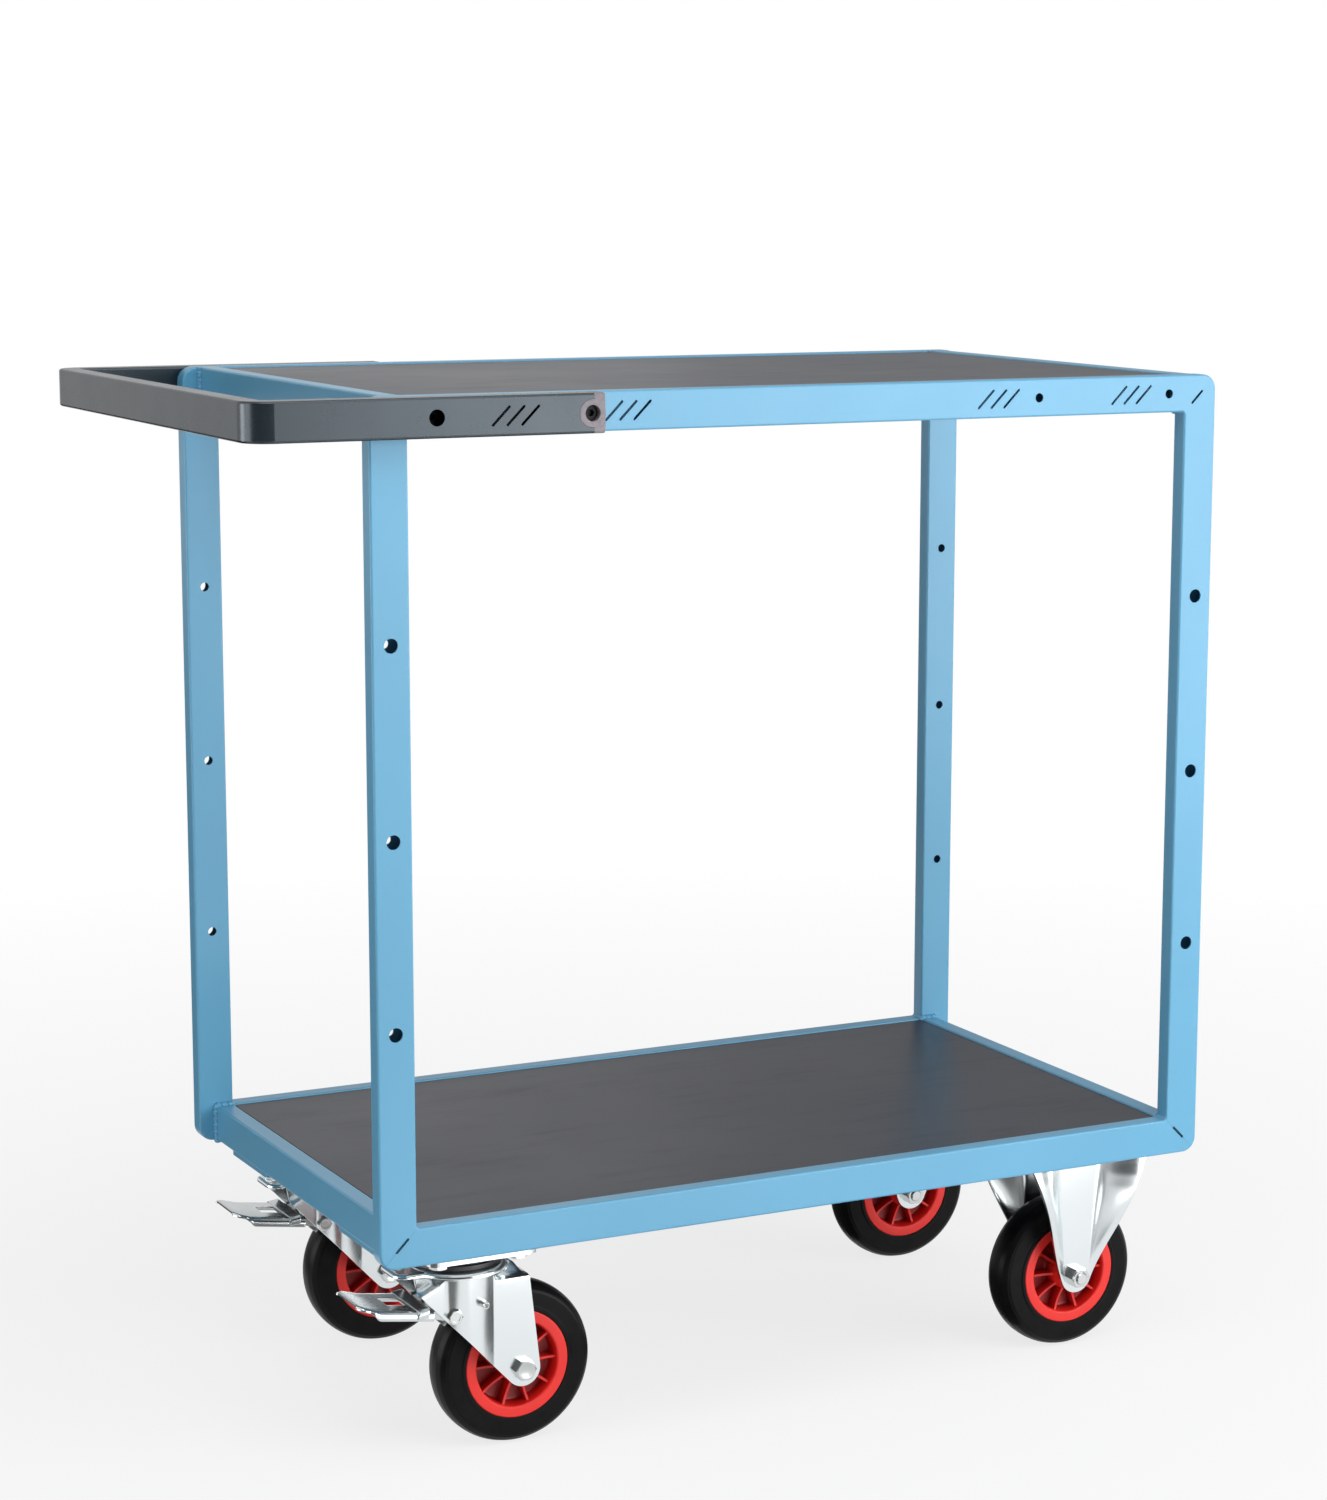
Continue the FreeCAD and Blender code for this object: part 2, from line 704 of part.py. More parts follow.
def fork_pins():
    """Pedal pivot with a hexagon head, and the slotted stop pin above the tread."""
    outside = fork_half + fork_pad
    pivot = pivot_place(pivot_angle, pivot_above_tread)
    stop = pivot_place(stop_angle, stop_above_tread)
    head = prism(hexagon(pivot[0], pivot[1], pin_head_across), "y", -outside - pin_head_height, -outside)
    shank = rod("y", pivot[0], pivot[1], -outside - 1, outside + 1, pin_diameter)
    rivet = rod("y", pivot[0], pivot[1], outside, outside + pin_rivet, pin_head_across)
    end = outside + stop_pin_proud
    dowel = rod("y", stop[0], stop[1], -end, end, stop_pin_diameter)
    bore = rod("y", stop[0], stop[1], -end - 1, end + 1, stop_pin_diameter * 0.6)
    half = stop_pin_slot / 2
    opening = rectangle(stop[0], stop[0] + stop_pin_diameter, stop[1] - half, stop[1] + half)
    gap = prism(opening, "y", -end - 1, end + 1)
    return [head.fuse([shank, rivet]).removeSplitter(), dowel.cut([bore, gap])]


def tilted(shape):
    """Turn a pedal piece, drawn level along -x from its pivot, to its rest slope at the fork."""
    pivot = pivot_place(pivot_angle, pivot_above_tread)
    shape.translate(V(pivot[0], 0, pivot[1]))
    shape.rotate(V(pivot[0], 0, pivot[1]), V(0, 1, 0), pedal_tilt)
    return shape


def pedal():
    """Pressed brake pedal with side flanges, a window, pivot ears and the shoe that meets the tread."""
    ear_half = fork_gap / 2 - pedal_side_gap
    half = pedal_width / 2
    neck = pedal_ear + pedal_neck
    step = pedal_length - nose_length
    edge = [(-pedal_back, ear_half, 0), (-neck, ear_half, 0), (-neck, half, pedal_corner),
            (-step, half, pedal_corner), (-step - nose_step, half - nose_step / 2, pedal_corner),
            (-pedal_length, half - nose_taper, 4 * pedal_corner)]
    plate = edge + [(u, -v, r) for u, v, r in reversed(edge)]
    near = -neck - window_start
    hole = rectangle(near - window_length, near, -window_width / 2, window_width / 2, pedal_corner)
    solid = prism(plate, "z", -pedal_sheet, 0).cut(prism(hole, "z", -pedal_sheet - 1, 1))
    pieces = []
    for side in sides.values():
        ear = sorted((side * ear_half, side * (ear_half - pedal_sheet)))
        rim_span = sorted((side * half, side * (half - pedal_sheet)))
        link = sorted((side * half, side * (ear_half - pedal_sheet)))
        pieces.append(rod("y", 0, 0, *ear, 2 * pedal_ear))
        pieces.append(prism(rectangle(-neck - pedal_sheet, 0, -pedal_ear, 0), "y", *ear))
        pieces.append(prism(rectangle(-neck - pedal_sheet, -neck, -pedal_flange, 0), "y", *link))
        flange = [(-step, -pedal_flange, 3 * pedal_corner), (-neck, -pedal_flange, 0),
                  (-neck, 0, 0), (-step, 0, 0)]
        pieces.append(prism(flange, "y", *rim_span))
    web = rectangle(-pedal_back, pedal_sheet - pedal_back, -shoe_drop, 0)
    web = prism(web, "y", -ear_half, ear_half)
    shoe_half = tyre_width * 0.4
    shoe = rectangle(-pedal_back, shoe_length - pedal_back, -shoe_drop, pedal_sheet - shoe_drop)
    shoe = prism(shoe, "y", -shoe_half, shoe_half)
    clear = rod("y", 0, 0, -half, half, pin_diameter + 2 * running_clearance)
    return tilted(solid.fuse(pieces + [web, shoe]).removeSplitter().cut(clear))


def pedal_strap():
    """Strap folded over the pedal and down past both of its flanges."""
    start = pedal_ear + pedal_neck + strap_gap
    half = pedal_width / 2
    reach = half + strap_sheet
    top = prism(rectangle(-start - strap_width, -start, -reach, reach), "z", 0, strap_sheet)
    folds = [e for e in edges_at(top, "z", strap_sheet) if e.BoundBox.YLength < 1]
    top = top.makeFillet(strap_sheet * 0.8, folds)
    sides_down = []
    for side in sides.values():
        span = sorted((side * half, side * (half + strap_sheet)))
        sides_down.append(prism(rectangle(-start - strap_width, -start, -pedal_flange, 0.2), "y", *span))
    return tilted(top.fuse(sides_down).removeSplitter())


def rigid_foot():
    """Place where the straight edge of a fixed fork's leg touches the round boss at the axle."""
    return tangent(rigid_length / 2, plate_bottom, 0, wheel_radius, fork_boss, -1)


def rigid_row(share, flare):
    """Outer side of a fixed fork's leg at a share of its height: a flat strip between flared wings."""
    foot = rigid_foot()[0]
    strip = (rigid_strip_foot + share * (rigid_strip_top - rigid_strip_foot)) / 2
    edge = foot + share * (rigid_length / 2 - foot)
    wing = [(strip, 0.0), ((strip + edge) / 2, flare * rigid_wing_curve), (edge, flare)]
    row = [(-x, y) for x, y in reversed(wing)] + wing
    return [(x, fork_half + y) for x, y in row]


def rigid_leg(top_flare):
    """Leg of a fixed fork on the +y side, lofted through its sections from the boss to the plate."""
    foot = rigid_foot()[1]
    sections = []
    for share, flare in rigid_levels + ((1.0, top_flare),):
        z = foot + share * (plate_bottom - foot)
        row = rigid_row(share, flare)
        outer = [V(x, y, z) for x, y in row]
        inner = [V(x, y - fork_sheet, z) for x, y in reversed(row)]
        sections.append(Part.makePolygon(outer + inner + outer[:1]))
    return Part.makeLoft(sections, True, True)


def fixed_fork():
    """Pressed housing: a waisted plate and two legs, each a flat strip with flared wings."""
    top_flare = rigid_width / 2 - fork_half
    row = rigid_row(1.0, top_flare)
    radii = [rigid_corner, 0.0, 0.0, 0.0, 0.0, rigid_corner]
    rim = [(x, y, radius) for (x, y), radius in zip(row, radii)]
    rim += [(x, -y, radius) for x, y, radius in reversed(rim)]
    plate = prism(rim, "z", plate_bottom, caster_top)
    leg = rigid_leg(top_flare)
    pieces = [leg, leg.mirror(V(0, 0, 0), V(0, 1, 0))]
    for side in sides.values():
        boss = sorted((side * fork_gap / 2, side * fork_half))
        pieces.append(rod("y", 0, wheel_radius, *boss, 2 * fork_boss))
    fork = plate.fuse(pieces).removeSplitter()
    axle_hole = rod("y", 0, wheel_radius, -rigid_width, rigid_width, axle_diameter)
    return fork.cut(plate_holes(0, 0, rigid_pattern, plate_bottom, caster_top) + [axle_hole])


def moved(shape, x, y, z=0.0):
    copy = shape.copy()
    copy.translate(V(x, y, z))
    return copy


def frame_nodes():
    nodes = {}
    for name, side in sides.items():
        nodes["upper_bow_" + name], nodes["lower_bow_" + name] = side_frame(side)
        nodes["upper_ledge_" + name] = ledge(side, upper_deck_top - deck_thickness)
        nodes["lower_ledge_" + name] = ledge(side, lower_deck_top - deck_thickness)
        nodes["handle_cap_" + name] = handle_cap(side)
    for name, end in (("push", -1), ("lead", 1)):
        nodes["upper_cross_tube_" + name] = cross_tube(end, frame_top - tube_face)
        nodes["lower_cross_tube_" + name] = cross_tube(end, frame_bottom)
    nodes["upper_deck"] = deck(upper_deck_top)
    nodes["lower_deck"] = deck(lower_deck_top)
    levels = (upper_deck_top - deck_thickness, lower_deck_top - deck_thickness)
    rows = [(x, ledge_y(side), z) for z in levels for side in sides.values() for x in screw_places()]
    nodes["deck_screws"] = Part.makeCompound([deck_screw(*row) for row in rows])
    nodes["push_handle"] = push_handle()
    nodes["handle_bolts"] = Part.makeCompound(handle_bolts())
    return nodes


def caster_nodes():
    nodes = {}
    bolts = []
    nuts = []
    for name, place in caster_places().items():
        nodes["mount_plate_" + name] = mount_plate(*place)
        bolts.extend(plate_bolt_solid(*at) for at in plate_bolt_places(*place))
        nuts.extend(plate_nut_solid(*at) for at in plate_bolt_places(*place))
    nodes["caster_bolts"] = Part.makeCompound(bolts)
    nodes["caster_nuts"] = Part.makeCompound(nuts)
    at_pivot = {"swivel_plate": swivel_plate(), "king_pin": king_pin_solid(),
                "swivel_fork": swivel_fork(), "bearing_ring": bearing_ring(),
                "fork_pins": Part.makeCompound(fork_pins()),
                "pedal": pedal(), "pedal_strap": pedal_strap()}
    at_axle = {"tyre": tyre(), "rim": rim(), "sleeve": sleeve()}
    fixed = fixed_fork()
    for name, side in sides.items():
        y = side * caster_track / 2
        for piece, shape in at_pivot.items():
            nodes[piece + "_" + name] = moved(shape, swivel_x, y)
        for piece, shape in at_axle.items():
            nodes[piece + "_swivel_" + name] = moved(shape, swivel_x + trail, y, wheel_radius)
            nodes[piece + "_fixed_" + name] = moved(shape, fixed_x, y, wheel_radius)
        at_wheel = (swivel_x + trail, y, wheel_radius)
        nodes["swivel_axle_" + name] = moved(axle_bolt(-1), *at_wheel)
        nodes["swivel_nut_" + name] = moved(axle_nut_solid(1), *at_wheel)
        nodes["fixed_fork_" + name] = moved(fixed, fixed_x, y)
    tracks = [side * caster_track / 2 for side in sides.values()]
    axles = [moved(axle_bolt(1), fixed_x, y, wheel_radius) for y in tracks]
    locks = [moved(axle_nut_solid(-1), fixed_x, y, wheel_radius) for y in tracks]
    nodes["fixed_axle_bolts"] = Part.makeCompound(axles)
    nodes["fixed_axle_nuts"] = Part.makeCompound(locks)
    return nodes


os.makedirs("parts", exist_ok=True)
for node, shape in {**frame_nodes(), **caster_nodes()}.items():
    shape.exportStep("parts/" + node + ".step")
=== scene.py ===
# %% [markdown]
# # Two-deck service cart
# The cart is a welded frame of light blue rectangular tube that carries two dark boards, a dark grey
# push handle and four casters. Its measured solids are loaded first and stay where their shape is
# right. The lesson then adds what plain solids do not show: pressed sheet with soft bends, moulded
# wheels, weld beads, seams, and a finish for each material.

# %% Load the cart's solids
import json
import math

import bmesh
import bpy
import numpy as np
from mathutils import Matrix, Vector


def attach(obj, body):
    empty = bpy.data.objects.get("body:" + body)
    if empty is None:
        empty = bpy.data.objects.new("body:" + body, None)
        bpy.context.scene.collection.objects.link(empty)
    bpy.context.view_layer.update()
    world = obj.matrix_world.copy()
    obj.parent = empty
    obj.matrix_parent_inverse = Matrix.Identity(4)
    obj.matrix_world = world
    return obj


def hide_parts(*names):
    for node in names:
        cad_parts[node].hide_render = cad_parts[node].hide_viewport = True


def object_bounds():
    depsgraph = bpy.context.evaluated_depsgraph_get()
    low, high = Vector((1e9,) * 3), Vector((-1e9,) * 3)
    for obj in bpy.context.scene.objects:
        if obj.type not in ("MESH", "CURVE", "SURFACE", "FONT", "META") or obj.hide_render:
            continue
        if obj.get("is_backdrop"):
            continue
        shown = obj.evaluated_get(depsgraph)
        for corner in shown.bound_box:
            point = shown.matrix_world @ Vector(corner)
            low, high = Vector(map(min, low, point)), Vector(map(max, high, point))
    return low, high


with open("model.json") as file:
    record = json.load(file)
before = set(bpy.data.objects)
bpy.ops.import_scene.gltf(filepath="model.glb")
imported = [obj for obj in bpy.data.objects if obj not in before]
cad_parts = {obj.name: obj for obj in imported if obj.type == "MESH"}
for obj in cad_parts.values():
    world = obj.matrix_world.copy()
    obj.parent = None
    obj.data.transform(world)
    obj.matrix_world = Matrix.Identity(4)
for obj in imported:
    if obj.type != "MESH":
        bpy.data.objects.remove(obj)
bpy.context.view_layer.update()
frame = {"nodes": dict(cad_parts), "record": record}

# %% [markdown]
# ## Camera
# The view was found by fitting a camera to the straight edges of the frame, so its place, turn and
# focal length are measured values. The picture is the right part of a wider view, which is why the
# lens is shifted a little instead of the camera being turned.

# %% Camera
IMAGE_LONG_SIDE = 1500.0
FOCAL_PIXELS = 3561.6
AXIS_OFFSET = (116.5, 40.0)
VIEW_TURN = (-28.35, 10.0, 0.35)
VIEW_PLACE = (-1.5552, -3.1781, 1.2151)


def camera_axes(azimuth, elevation, roll):
    """Right, up and back of a camera looking from an azimuth and an elevation, in degrees.

    back = (sin a cos e, -cos a cos e, sin e), right = (cos a, sin a, 0), up = back x right,
    and roll turns right towards up.
    """
    a, e, r = np.radians([azimuth, elevation, roll])
    back = np.array([np.sin(a) * np.cos(e), -np.cos(a) * np.cos(e), np.sin(e)])
    right = np.array([np.cos(a), np.sin(a), 0.0])
    up = np.cross(back, right)
    return np.cos(r) * right + np.sin(r) * up, np.cos(r) * up - np.sin(r) * right, back


def standing(axes, place):
    """Matrix of a camera or lamp from its right, up and back axes and its place in metres."""
    matrix = np.eye(4)
    matrix[:3, :3] = np.stack(axes, axis=1)
    matrix[:3, 3] = place
    return Matrix(matrix.tolist())


def added(name, data):
    """New object in the scene from a mesh, a lamp or a lens."""
    made = bpy.data.objects.new(name, data)
    bpy.context.collection.objects.link(made)
    return made


lens = bpy.data.cameras.new("photo_lens")
lens.sensor_width = 36.0
lens.lens = lens.sensor_width * FOCAL_PIXELS / IMAGE_LONG_SIDE
lens.shift_x = -AXIS_OFFSET[0] / IMAGE_LONG_SIDE
lens.shift_y = AXIS_OFFSET[1] / IMAGE_LONG_SIDE
camera = added("photo_camera", lens)
camera.matrix_world = standing(camera_axes(*VIEW_TURN), VIEW_PLACE)
bpy.context.scene.camera = camera
print("lens:", round(lens.lens, 2), "mm, shift", round(lens.shift_x, 4), round(lens.shift_y, 4))

# %% [markdown]
# ## Finishes
# Every finish is built from the same few steps: a noise pattern in the object's own coordinates, a
# range that turns it into roughness, a tint that turns it into colour, and a bump that turns it into
# relief. Small functions for these steps keep each finish down to the numbers that make it special.

# %% Steps of a finish
def put(tree, kind, sockets=(), **settings):
    """Add a shader node, set its properties, and fill its sockets with values or links."""
    made = tree.nodes.new("ShaderNode" + kind)
    for key, value in settings.items():
        setattr(made, key, value)
    for key, value in dict(sockets).items():
        if isinstance(value, bpy.types.NodeSocket):
            tree.links.new(value, made.inputs[key])
        else:
            made.inputs[key].default_value = value
    return made


def grain(tree, scale, detail=3.0, stretch=(1.0, 1.0, 1.0), harsh=0.5):
    """Noise from 0 to 1 in object space, scale bumps per metre, squeezed along each axis by stretch."""
    place = put(tree, "TexCoord").outputs["Object"]
    turned = put(tree, "Mapping", {"Vector": place, "Scale": stretch}).outputs["Vector"]
    noise = put(tree, "TexNoise", {"Vector": turned, "Scale": scale, "Detail": detail, "Roughness": harsh})
    return noise.outputs["Fac"]


def between(tree, value, low, high, start=0.3, stop=0.7):
    """Straight ramp: start gives low and stop gives high, held at both ends."""
    ramp = put(tree, "MapRange", {"Value": value, "From Min": start, "From Max": stop,
                                  "To Min": low, "To Max": high})
    return ramp.outputs["Result"]


def maths(tree, operation, *values):
    """Result of one sum on one or two numbers or links."""
    return put(tree, "Math", dict(enumerate(values)), operation=operation).outputs["Value"]


def tint(tree, value, first, second):
    """Colour between first, at 0, and second, at 1."""
    mix = put(tree, "Mix", data_type="RGBA")
    tree.links.new(value, mix.inputs["Factor"])
    mix.inputs[6].default_value = (*first, 1.0)
    mix.inputs[7].default_value = (*second, 1.0)
    return mix.outputs[2]


def relief(tree, height, strength, depth, below=None):
    """Bump of a depth in metres, on top of another bump if one is given."""
    bump = put(tree, "Bump", {"Height": height, "Strength": strength, "Distance": depth})
    if below:
        tree.links.new(below, bump.inputs["Normal"])
    return bump.outputs["Normal"]


def finish(name, **fixed):
    """New material with one surface shader; fixed values go on the shader's own sockets."""
    material = bpy.data.materials.new(name)
    material.use_nodes = True
    tree = material.node_tree
    shader = tree.nodes["Principled BSDF"]
    for key, value in fixed.items():
        shader.inputs[key.replace("_", " ")].default_value = value
    return material, tree, shader


def dress(tree, shader, **links):
    """Link outputs to the shader's sockets by name."""
    for key, value in links.items():
        tree.links.new(value, shader.inputs[key.replace("_", " ")])


print("finish steps ready")

# %% [markdown]
# ### Powder coat
# The frame and the handle are powder coated: the powder flows as it bakes and leaves a faint orange
# peel, under a millimetre wide, that softens reflections. Tone drifts slowly over a long tube, and
# handling leaves a thin veil of dust that only dulls the gloss. The handle's powder is a finer one.

# %% Powder coat
def shaded(colour, factor):
    """Colour times a factor, held at 1."""
    return tuple(min(1.0, c * factor) for c in colour)


def powder_coat(name, colour, gloss, peel_scale, peel_depth, shine=0.5, glint=(1.0, 1.0, 1.0)):
    """Colour drift on 0.3 m, dust on 40 mm and orange peel at peel_scale bumps per metre.

    shine is the strength of the surface reflection, and glint its tint.
    """
    material, tree, shader = finish(name, IOR=1.5, Specular_IOR_Level=shine, Specular_Tint=(*glint, 1.0))
    drift = between(tree, grain(tree, 3.0, 2.0), 0.0, 1.0)
    dust = grain(tree, 26.0, 5.0, harsh=0.62)
    colours = tint(tree, drift, shaded(colour, 0.95), shaded(colour, 1.04))
    peel = grain(tree, peel_scale, 2.0)
    dress(tree, shader, Base_Color=colours, Roughness=between(tree, dust, gloss - 0.02, gloss + 0.03),
          Normal=relief(tree, peel, 0.35, peel_depth))
    return material


FRAME_BLUE = (0.122, 0.382, 0.585)
HANDLE_GREY = (0.009, 0.015, 0.020)
frame_paint = powder_coat("light_blue_powder", FRAME_BLUE, 0.30, 620.0, 0.00010, 0.46)
handle_paint = powder_coat("dark_grey_powder", HANDLE_GREY, 0.26, 900.0, 0.00003, 0.68, (0.80, 0.91, 1.0))
seam_paint = powder_coat("seam_shade_powder", shaded(FRAME_BLUE, 0.5), 0.5, 620.0, 0.0001)
print("powder coats:", frame_paint.name, handle_paint.name, seam_paint.name)

# %% [markdown]
# ### Deck film
# The boards are plywood faced with a dark phenolic film. The film is smooth and satin, with a slow
# drift of tone, and use leaves short faint scuffs that only change the gloss. The scuffs are noise
# that is squeezed along one axis, so that the bumps become strokes.

# %% Deck film
def deck_film(name):
    """Tone drift on 0.25 m, a fine film texture, and scuffs along X that change the gloss."""
    material, tree, shader = finish(name, IOR=1.5, Specular_IOR_Level=0.34,
                                    Specular_Tint=(0.90, 0.94, 1.0, 1.0))
    cloud = grain(tree, 4.0, 3.0)
    scuff = grain(tree, 30.0, 8.0, (0.35, 1.6, 1.0), 0.7)
    skin = grain(tree, 520.0, 3.0)
    colours = tint(tree, between(tree, cloud, 0.0, 1.0), (0.023, 0.025, 0.036), (0.027, 0.029, 0.041))
    worn = between(tree, scuff, 0.0, 0.05, 0.52, 0.72)
    satin = maths(tree, "ADD", between(tree, cloud, 0.35, 0.40), worn)
    dress(tree, shader, Base_Color=colours, Roughness=satin, Normal=relief(tree, skin, 0.10, 0.00004))
    return material


deck_board = deck_film("dark_deck_film")
print("deck film:", deck_board.name)

# %% [markdown]
# ### Plated steel, rubber and mouldings
# The caster parts are zinc plated: a bright metal with a slightly cloudy, bluish passivation and fine
# drawing marks from the press. The tyres are solid black rubber with a dull, dusty skin. The wheel
# centres are moulded red nylon, and the handle's end caps a warm grey one.

# %% Plated steel
def plated(name, light, dark, gloss, marks=(1.0, 1.0, 0.06)):
    """Faintly cloudy plating on 60 mm with drawing marks squeezed by marks."""
    material, tree, shader = finish(name, Metallic=1.0)
    cloud = grain(tree, 16.0, 3.0)
    lines = grain(tree, 420.0, 4.0, marks)
    dull = between(tree, cloud, gloss, gloss + 0.07)
    dress(tree, shader, Base_Color=tint(tree, between(tree, cloud, 0.0, 1.0), light, dark), Roughness=dull,
          Normal=relief(tree, lines, 0.06, 0.00004))
    return material


# painted shade: the pedal's zinc is a darker copy of the forks' bright zinc, for the frame's dark underside
# that the pedal reflects
pedal_zinc_painted_shade = plated("pedal_zinc_with_painted_shade", (0.62, 0.655, 0.66), (0.50, 0.535, 0.54), 0.20)
zinc_steel = plated("bright_zinc", (0.82, 0.86, 0.87), (0.78, 0.825, 0.84), 0.17)
bolt_steel = plated("zinc_fasteners", (0.70, 0.72, 0.715), (0.56, 0.58, 0.575), 0.24)
# painted shade: the bearing rings are dark, for the shade in the narrow space under the plate
bearing_steel = plated("bearing_painted_shade", (0.10, 0.10, 0.105), (0.05, 0.05, 0.055), 0.34)
# black oxide bolts for the handle, near black so that they also paint the shade deep in the cap's bolt holes
black_bolt = plated("black_oxide_and_hole_shade", (0.018, 0.018, 0.020), (0.010, 0.010, 0.011), 0.42)
print("metals:", pedal_zinc_painted_shade.name, zinc_steel.name, bolt_steel.name, bearing_steel.name, black_bolt.name)


# %% Rubber and mouldings
def rubber(name):
    """Near-black skin whose dust veil lifts both tone and roughness."""
    material, tree, shader = finish(name, IOR=1.45, Specular_IOR_Level=0.12)
    veil = grain(tree, 45.0, 6.0, harsh=0.65)
    skin = grain(tree, 800.0, 3.0)
    tones = tint(tree, between(tree, veil, 0.0, 1.0), (0.0042, 0.0042, 0.0046), (0.0075, 0.0075, 0.0080))
    dress(tree, shader, Base_Color=tones, Roughness=between(tree, veil, 0.30, 0.42),
          Normal=relief(tree, skin, 0.15, 0.00010))
    return material


def moulded(name, light, dark, gloss, fleck=0.0):
    """Flow marks on 25 mm and a fine mould texture."""
    material, tree, shader = finish(name, IOR=1.5)
    flow = grain(tree, 40.0 + 300.0 * fleck, 4.0, harsh=0.55)
    skin = grain(tree, 700.0, 2.0)
    dress(tree, shader, Base_Color=tint(tree, between(tree, flow, 0.0, 1.0), light, dark),
          Roughness=between(tree, flow, gloss, gloss + 0.12), Normal=relief(tree, skin, 0.2, 0.0001))
    return material


def nylon_with_painted_pocket_shade(name, face, deep, gloss, middle=0.1687):
    """Moulded nylon with painted shade: its colour deepens towards the wheel's middle plane, down in the
    pockets.

    The share of the face colour is (d - 3 mm) / 15 mm with d = ||y| - middle|, the way to that plane.
    """
    material, tree, shader = finish(name, IOR=1.5)
    flow = grain(tree, 40.0, 4.0, harsh=0.55)
    place = put(tree, "SeparateXYZ", {"Vector": put(tree, "TexCoord").outputs["Object"]})
    side = maths(tree, "ABSOLUTE", place.outputs["Y"])
    way = maths(tree, "ABSOLUTE", maths(tree, "SUBTRACT", side, middle))
    # painted shade: the deep colour fills the pockets up to 3 mm from the middle plane and gives way to the
    # face colour by 18 mm
    shallow = between(tree, way, 0.0, 1.0, 0.003, 0.018)
    share = maths(tree, "MULTIPLY", shallow, between(tree, flow, 0.88, 1.0))
    dress(tree, shader, Base_Color=tint(tree, share, deep, face),
          Roughness=between(tree, flow, gloss, gloss + 0.12),
          Normal=relief(tree, grain(tree, 700.0, 2.0), 0.2, 0.0001))
    return material


tyre_rubber = rubber("black_tyre_rubber")
# the second colour is the painted shade deep in the wheel's pockets
rim_plastic = nylon_with_painted_pocket_shade("red_nylon", (0.86, 0.022, 0.015), (0.30, 0.004, 0.005), 0.34)
cap_plastic = moulded("warm_grey_cap", (0.265, 0.240, 0.262), (0.205, 0.178, 0.200), 0.52, 1.0)
print("mouldings:", tyre_rubber.name, rim_plastic.name, cap_plastic.name)

# %% [markdown]
# ### Dress the solids
# The record says which material slot each solid takes. Its finish goes straight into that slot, so
# the solids themselves are not touched.

# %% Dress the solids
FINISHES = {"frame_paint": frame_paint, "handle_paint": handle_paint, "cap_plastic": cap_plastic,
            "deck_board": deck_board, "zinc_steel": zinc_steel, "bearing_steel": bearing_steel,
            "black_bolt": black_bolt, "bolt_steel": bolt_steel, "tyre_rubber": tyre_rubber,
            "rim_plastic": rim_plastic}
slot_of = {row["node"]: row["material_slot"] for row in frame["record"]["subparts"]}
for node, solid in frame["nodes"].items():
    for slot in solid.material_slots:
        slot.material = FINISHES[slot_of[node]]
print("dressed solids:", len(slot_of))

# %% [markdown]
# ## Surfaces
# A new piece is a grid of points worked out by a formula and joined by four-cornered faces. A lathe
# grid closes on itself, a sheet is left open and gets its thickness from a modifier, and a bead is a
# small loop carried along a path. Lengths here are millimetres, turned to metres at the end.

# %% Grids
MM = 0.001


def quads(rows, columns, wrap_rows=False, wrap_columns=False):
    """Faces of a grid stored row by row; a wrapped direction joins its last line to its first."""
    r, c = np.indices((rows - (not wrap_rows), columns - (not wrap_columns))).reshape(2, -1)
    r1, c1 = (r + 1) % rows, (c + 1) % columns
    return np.stack([r * columns + c, r * columns + c1, r1 * columns + c1, r1 * columns + c], axis=1)


def joined(*shells):
    """One set of points and faces from several."""
    starts = np.cumsum([0] + [len(points) for points, _ in shells[:-1]])
    faces = np.vstack([f + start for (_, f), start in zip(shells, starts)])
    return np.vstack([points for points, _ in shells]), faces


def smooth(t):
    """Smooth step from 0 to 1: 3t^2 - 2t^3 with t held between 0 and 1."""
    t = np.clip(t, 0.0, 1.0)
    return t * t * (3.0 - 2.0 * t)


def rounded(corners, steps=6):
    """Closed loop through corners (a, b, radius), each cut by a circular arc of its radius.

    Each arc is a rational Bezier curve from radius / tan(h) before the corner to the same distance
    after it, with the corner as its middle point at weight sin(h), where h is half the corner's angle.
    """
    table = np.array(corners, float)
    point, radius = table[:, :2], table[:, 2]
    back = np.roll(point, 1, axis=0) - point
    ahead = np.roll(point, -1, axis=0) - point
    back /= np.linalg.norm(back, axis=1, keepdims=True)
    ahead /= np.linalg.norm(ahead, axis=1, keepdims=True)
    half = np.arccos(np.clip((back * ahead).sum(axis=1), -1.0, 1.0)) / 2
    reach = (radius / np.tan(half))[:, None]
    t = np.linspace(0.0, 1.0, steps)[None, :, None]
    weights = ((1 - t) ** 2, 2 * t * (1 - t) * np.sin(half)[:, None, None], t ** 2)
    ends = (point + back * reach, point, point + ahead * reach)
    arc = sum(w * e[:, None] for w, e in zip(weights, ends)) / sum(weights)
    return arc.reshape(-1, 2)


def lathe(loop, turns=96, axis="y"):
    """Closed loop of (radius, height) turned about an axis: (r cos t, h, r sin t) for the y axis."""
    t = np.linspace(0.0, 2 * np.pi, turns, endpoint=False)[:, None]
    r, h = np.asarray(loop, float).T
    u, v, w = r * np.cos(t), r * np.sin(t), h + 0 * t
    grid = np.stack([u, w, v] if axis == "y" else [u, v, w], axis=-1)
    return grid.reshape(-1, 3), quads(turns, len(r), True, True)


